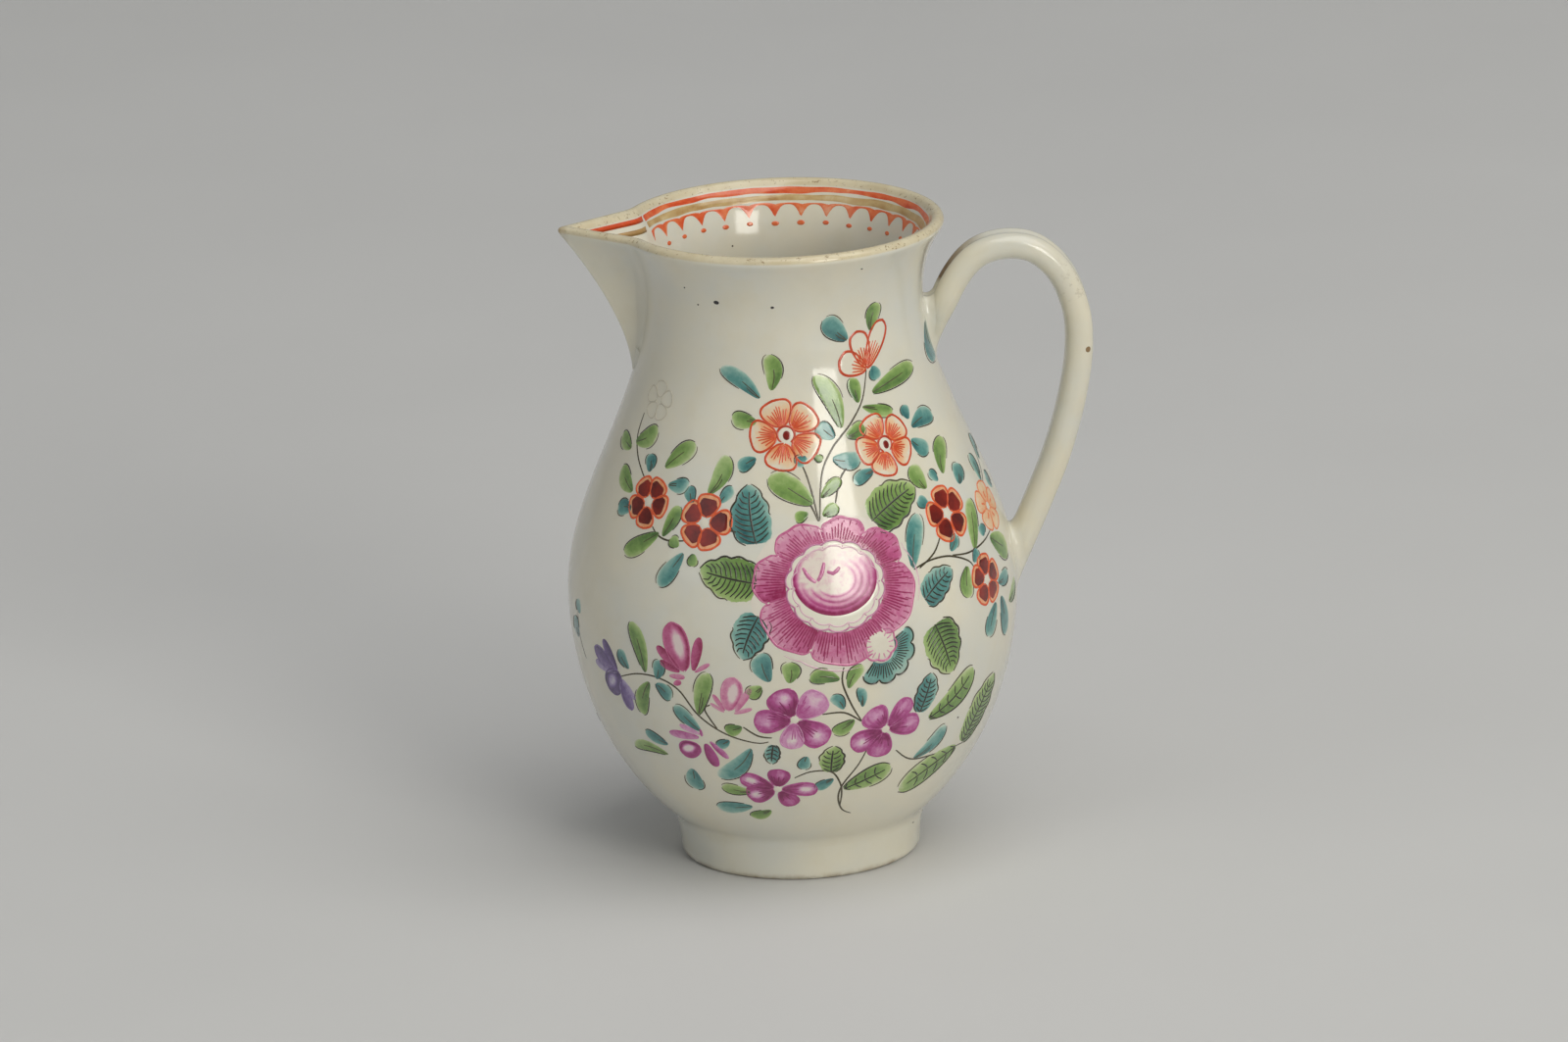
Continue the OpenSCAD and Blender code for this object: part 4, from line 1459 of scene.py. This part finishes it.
def sprig(degrees, z, turn, size, kinds):
    """A small loose sprig: a bent stalk with leaves on alternate sides. Gives the place of its end."""
    chart = Chart(degrees, z)
    count = len(kinds) + 1
    line = []
    for i in range(count + 1):
        t = i / count
        line.append(ray(math.radians(turn) + 0.4 * (t - 0.5), size * 2.6 * t))
    stroke("ink_lines", chart, line, 0.3, 0.7)

    def place(p):
        height = height_at(chart.arc + p.y)
        return degrees + math.degrees(p.x / outer_r(height)), height

    for i, kind in enumerate(kinds):
        a = math.radians(turn) + (0.95 if i % 2 else -0.95)
        base = line[1 + i] * 0.8
        leaf(place(base), place(base + ray(a, size * random.uniform(0.8, 1.0))), size * 0.45, kind)
    return place(line[-1])


BACK_STEMS = (
    ((180, 14), (182, 24), (178, 34), (172, 44), (166, 56)), ((178, 34), (190, 40), (203, 44)),
    ((174, 40), (160, 45), (150, 46)), ((181, 26), (196, 29), (208, 33)),
    ((181, 24), (164, 24), (152, 27)), ((168, 52), (176, 60), (180, 68)),
    ((166, 56), (160, 64), (156, 70)), ((173, 56), (180, 55.5), (186, 57)))
BACK_LEAVES = (
    ((187, 33), (196, 27), 4.4, "G*"), ((169, 34), (158, 32), 4.4, "T*"),
    ((190, 46), (200, 53), 4, "T*"), ((168, 48), (157, 52), 4, "G*"),
    ((181, 20), (191, 15), 2.8, "G"), ((180, 18), (170, 13), 2.6, "T"),
    ((172, 62), (178, 66), 2, "g"), ((163, 66), (168, 71), 2, "t"), ((157, 68), (149, 71), 2, "g"),
    ((192, 41), (196, 46), 1.8, "t"), ((210, 51), (216, 56), 2, "g"), ((213, 46), (222, 45), 2, "t"),
    ((154, 45.5), (148, 41), 2, "g"), ((145, 51), (141, 56), 1.8, "t"),
    ((144, 46), (136, 44), 1.8, "g"), ((198, 29.5), (202, 24), 2.2, "t"),
    ((217, 30), (226, 29), 2, "g"), ((160, 28), (155, 33), 2, "g"), ((158, 24), (151, 21), 1.8, "t"),
    ((176, 70), (170, 75), 1.9, "g"), ((184, 70), (192, 73), 1.9, "t"))


def back_spray():
    """The side away from the front: a second, looser spray of the same flowers."""
    SPRAY[0] = "back_spray"
    for places in BACK_STEMS:
        stem(places)
    rose(178, 41, 7.6)
    orange_flower(165, 61, 4.8)
    orange_flower(206, 47, 4.2, 60)
    tulip(180, 68, ((-1.2, 5.0, 2.6), (2.4, 5.2, 2.6), (-3.6, 2.0, 2.8)))
    red_flower(148, 47.5, 3.7, 70)
    red_flower(187, 58, 3.5)
    puce_flower(210, 31, (
        (90, 4.6, 3.8, 0.9, 0.6), (18, 4.8, 3.8, 0.6, 0.3), (-54, 4.4, 3.6, 0.9, 0.5),
        (-126, 4.7, 3.8, 0.8, 0.6), (162, 4.6, 3.6, 0.7, 0.2)))
    puce_flower(167, 23, (
        (100, 4.2, 3.6, 0.9, 0.5), (30, 4.6, 3.2, 0.7, 0.3), (-40, 4.4, 3.6, 0.9, 0.8),
        (-115, 4.0, 3.4, 0.9, 0.3), (172, 4.6, 3.4, 0.8, 0.6)))
    brushed_petals("violet_petals", 147, 29, (
        ((-0.2, 0.4), (-1.6, 4.6), 1.6, 0.8, 0), ((0.3, 0.3), (1.8, 4.4), 1.5, 0.7, 0),
        ((0, 0), (-4.2, 1.2), 2.6, 0.9, 0.9), ((0.2, -0.3), (3.4, -1.2), 1.6, 0.6, 0)))
    for item in BACK_LEAVES:
        leaf(*item)


LOOSE_SPRIGS = (                # degrees, height, heading, size, kinds of leaf
    (100, 22, 85, 3.4, "gtgt"), (-106, 40, 88, 3.4, "tgtg"), (-118, 62, 115, 2.6, "gtg"),
    (-124, 26, 75, 3.4, "gtgt"), (124, 64, 60, 2.6, "gtg"), (-88, 18, 110, 2.4, "tg"),
    (128, 18, 70, 2.4, "tg"))


def loose_sprigs():
    """Small sprigs that fill the sides, under the beak and by the handle."""
    SPRAY[0] = "loose_sprigs"
    for degrees, z, turn, size, kinds in LOOSE_SPRIGS:
        end, above = sprig(degrees, z, turn, size, kinds)
        if size > 3:
            red_flower(end, above + 2.4, 3.1)
        elif size > 2.5:
            orange_flower(end, above + 2.2, 3.0)


BEAK_GAP = 0.392                # half angle of the opening into the beak, inside the mouth
ARCHES = 28                     # in the border inside the mouth


def mouth_border():
    """Inside the lip: an orange line, a worn gold one, and arches with a dab under each foot."""
    SPRAY[0] = "mouth"
    mouth = Mouth()
    start = MOUTH_R * (BEAK_GAP - math.pi / 2)
    length = MOUTH_R * (TAU - 2 * BEAK_GAP)

    def waver(t, size, seed):
        return size * noise.noise(Vector((t * 30, seed, 0.5)))

    def band(colour, top, bottom, dens, cols):
        def place(s, t):
            return Vector((start + length * t, top(t) + (bottom(t) - top(t)) * s))

        def density(s, t):
            return dens + 0.3 * noise.noise(Vector((t * 70, s * 2, dens)))

        paint(colour).lay(mouth, 4, cols, place, density)

    def foot(t):
        return (1 - abs(math.sin(math.pi * ARCHES * t))) ** 1.5

    band("orange_lines", lambda t: 0.6 + waver(t, 0.15, 1), lambda t: 1.45 + waver(t, 0.3, 2), 0.55, 280)
    band("gold", lambda t: 1.55 + waver(t, 0.15, 3), lambda t: 2.5 + waver(t, 0.25, 4), 0.5, 280)
    band("orange_lines", lambda t: 2.6 + waver(t, 0.12, 5), lambda t: 2.82 + 1.7 * foot(t), 0.48,
         ARCHES * 14)
    for k in range(ARCHES + 1):
        at = (start + length * k / ARCHES, 4.85 + random.uniform(-0.12, 0.12))
        dot("orange_lines", mouth, at, random.uniform(0.22, 0.3), 0.5, squash=2.2)
    for colour, top, bottom in (("orange_lines", 0.7, 1.5), ("gold", 1.6, 2.5)):
        for side in (1, -1):
            beak_line(colour, top, bottom, side)


def beak_line(colour, top, bottom, side):
    """A line on one inside face of the beak, from its root almost to the tip."""
    inside = [ring for ring in RINGS if ring[2] == 1.0]
    count = 40
    verts, values = [], []
    for depth, lift in (
            (top, -SUNK), (top + 0.08, WASH_LIFT), (bottom - 0.08, WASH_LIFT), (bottom, -SUNK)):
        ring = min(inside, key=lambda item: abs(item[1] - (inside[0][1] - depth)))
        for k in range(count + 1):
            p = beak_plan(ring, 0.9 * k / count)
            q = beak_plan(ring, 0.9 * k / count + 0.01)
            inward = Vector((q.y - p.y, p.x - q.x)).normalized()
            inward *= -1 if inward.dot(Vector((-0.75 * MOUTH_R, 0)) - p) < 0 else 1    # off the wall
            p = p + inward * (-SUNK if k == count else lift)
            verts.append(Vector((p.x, side * max(p.y, 0.0), ring[1])))
            values.append(0.7)
    paint(colour).grid(4, count + 1, verts, values)


bouquet()
kiln_specks()
back_spray()
loose_sprigs()
mouth_border()
for enamel_paint in PAINTS.values():
    enamel_paint.make()

# ---- Studio ----

JUG_MIDDLE = Vector((0, 0, 0.045))    # in metres


def plain(name, colour):
    """A matt paper."""
    n = Nodes(name)
    tone = n.ramp(n.noise(9, 3, 0.5), (0.3, tuple(c * 0.97 for c in colour)), (0.7, colour))
    rough = n.ramp(n.noise(30, 2, 0.5), (0.3, 0.7), (0.7, 0.8))
    return n.surface(tone, rough, n.noise(300, 2, 0.5), 0.02, 0.2)


def make_floor():
    """A pale sheet that curves up all round the jug, so that no view shows a horizon."""
    flat, curve, height, turns = 2.0, 1.0, 2.4, 72
    line = [(0.001, 0.0), (0.3, 0.0), (1.0, 0.0), (flat, 0.0)]
    for i in range(1, 13):
        a = math.pi / 2 * i / 12
        line.append((flat + curve * math.sin(a), curve - curve * math.cos(a)))
    line.append((flat + curve, height))
    verts = [around(r / M, TAU * k / turns, z / M) for k in range(turns + 1) for r, z in line]
    faces = grid_faces(turns + 1, len(line))
    floor = new_object("floor", verts, faces, plain("floor_paper", (0.66, 0.66, 0.65)))
    floor.location.z = cad_bounds[0][2]


def softbox(name, place, size, power, colour):
    """A soft light aimed at the jug's middle. place and size are in metres."""
    data = bpy.data.lights.new(name, "AREA")
    data.shape = "RECTANGLE"
    data.size, data.size_y = size
    data.energy = power
    data.color = colour
    light = bpy.data.objects.new(name, data)
    light.location = place
    aim = JUG_MIDDLE - Vector(place)
    light.rotation_euler = aim.to_track_quat("-Z", "Y").to_euler()
    bpy.context.scene.collection.objects.link(light)


def make_lights():
    """A window-like key from the front right, a wide fill, and a broad top light."""
    scene = bpy.context.scene
    scene.view_settings.view_transform = "Standard"
    world = bpy.data.worlds.new("studio")
    world.use_nodes = True
    background = world.node_tree.nodes["Background"]
    background.inputs["Color"].default_value = (0.95, 0.97, 1.0, 1)
    background.inputs["Strength"].default_value = 0.3
    scene.world = world
    softbox("key", (0.66, -1.24, 0.56), (0.5, 0.7), 7.5, (1.0, 0.97, 0.9))
    softbox("fill", (-1.5, -1.0, 1.0), (1.2, 1.2), 2, (0.9, 0.95, 1.0))
    softbox("top", (0.5, -0.5, 1.6), (1.6, 1.6), 15.5, (1.0, 0.98, 0.94))


make_floor()
make_lights()
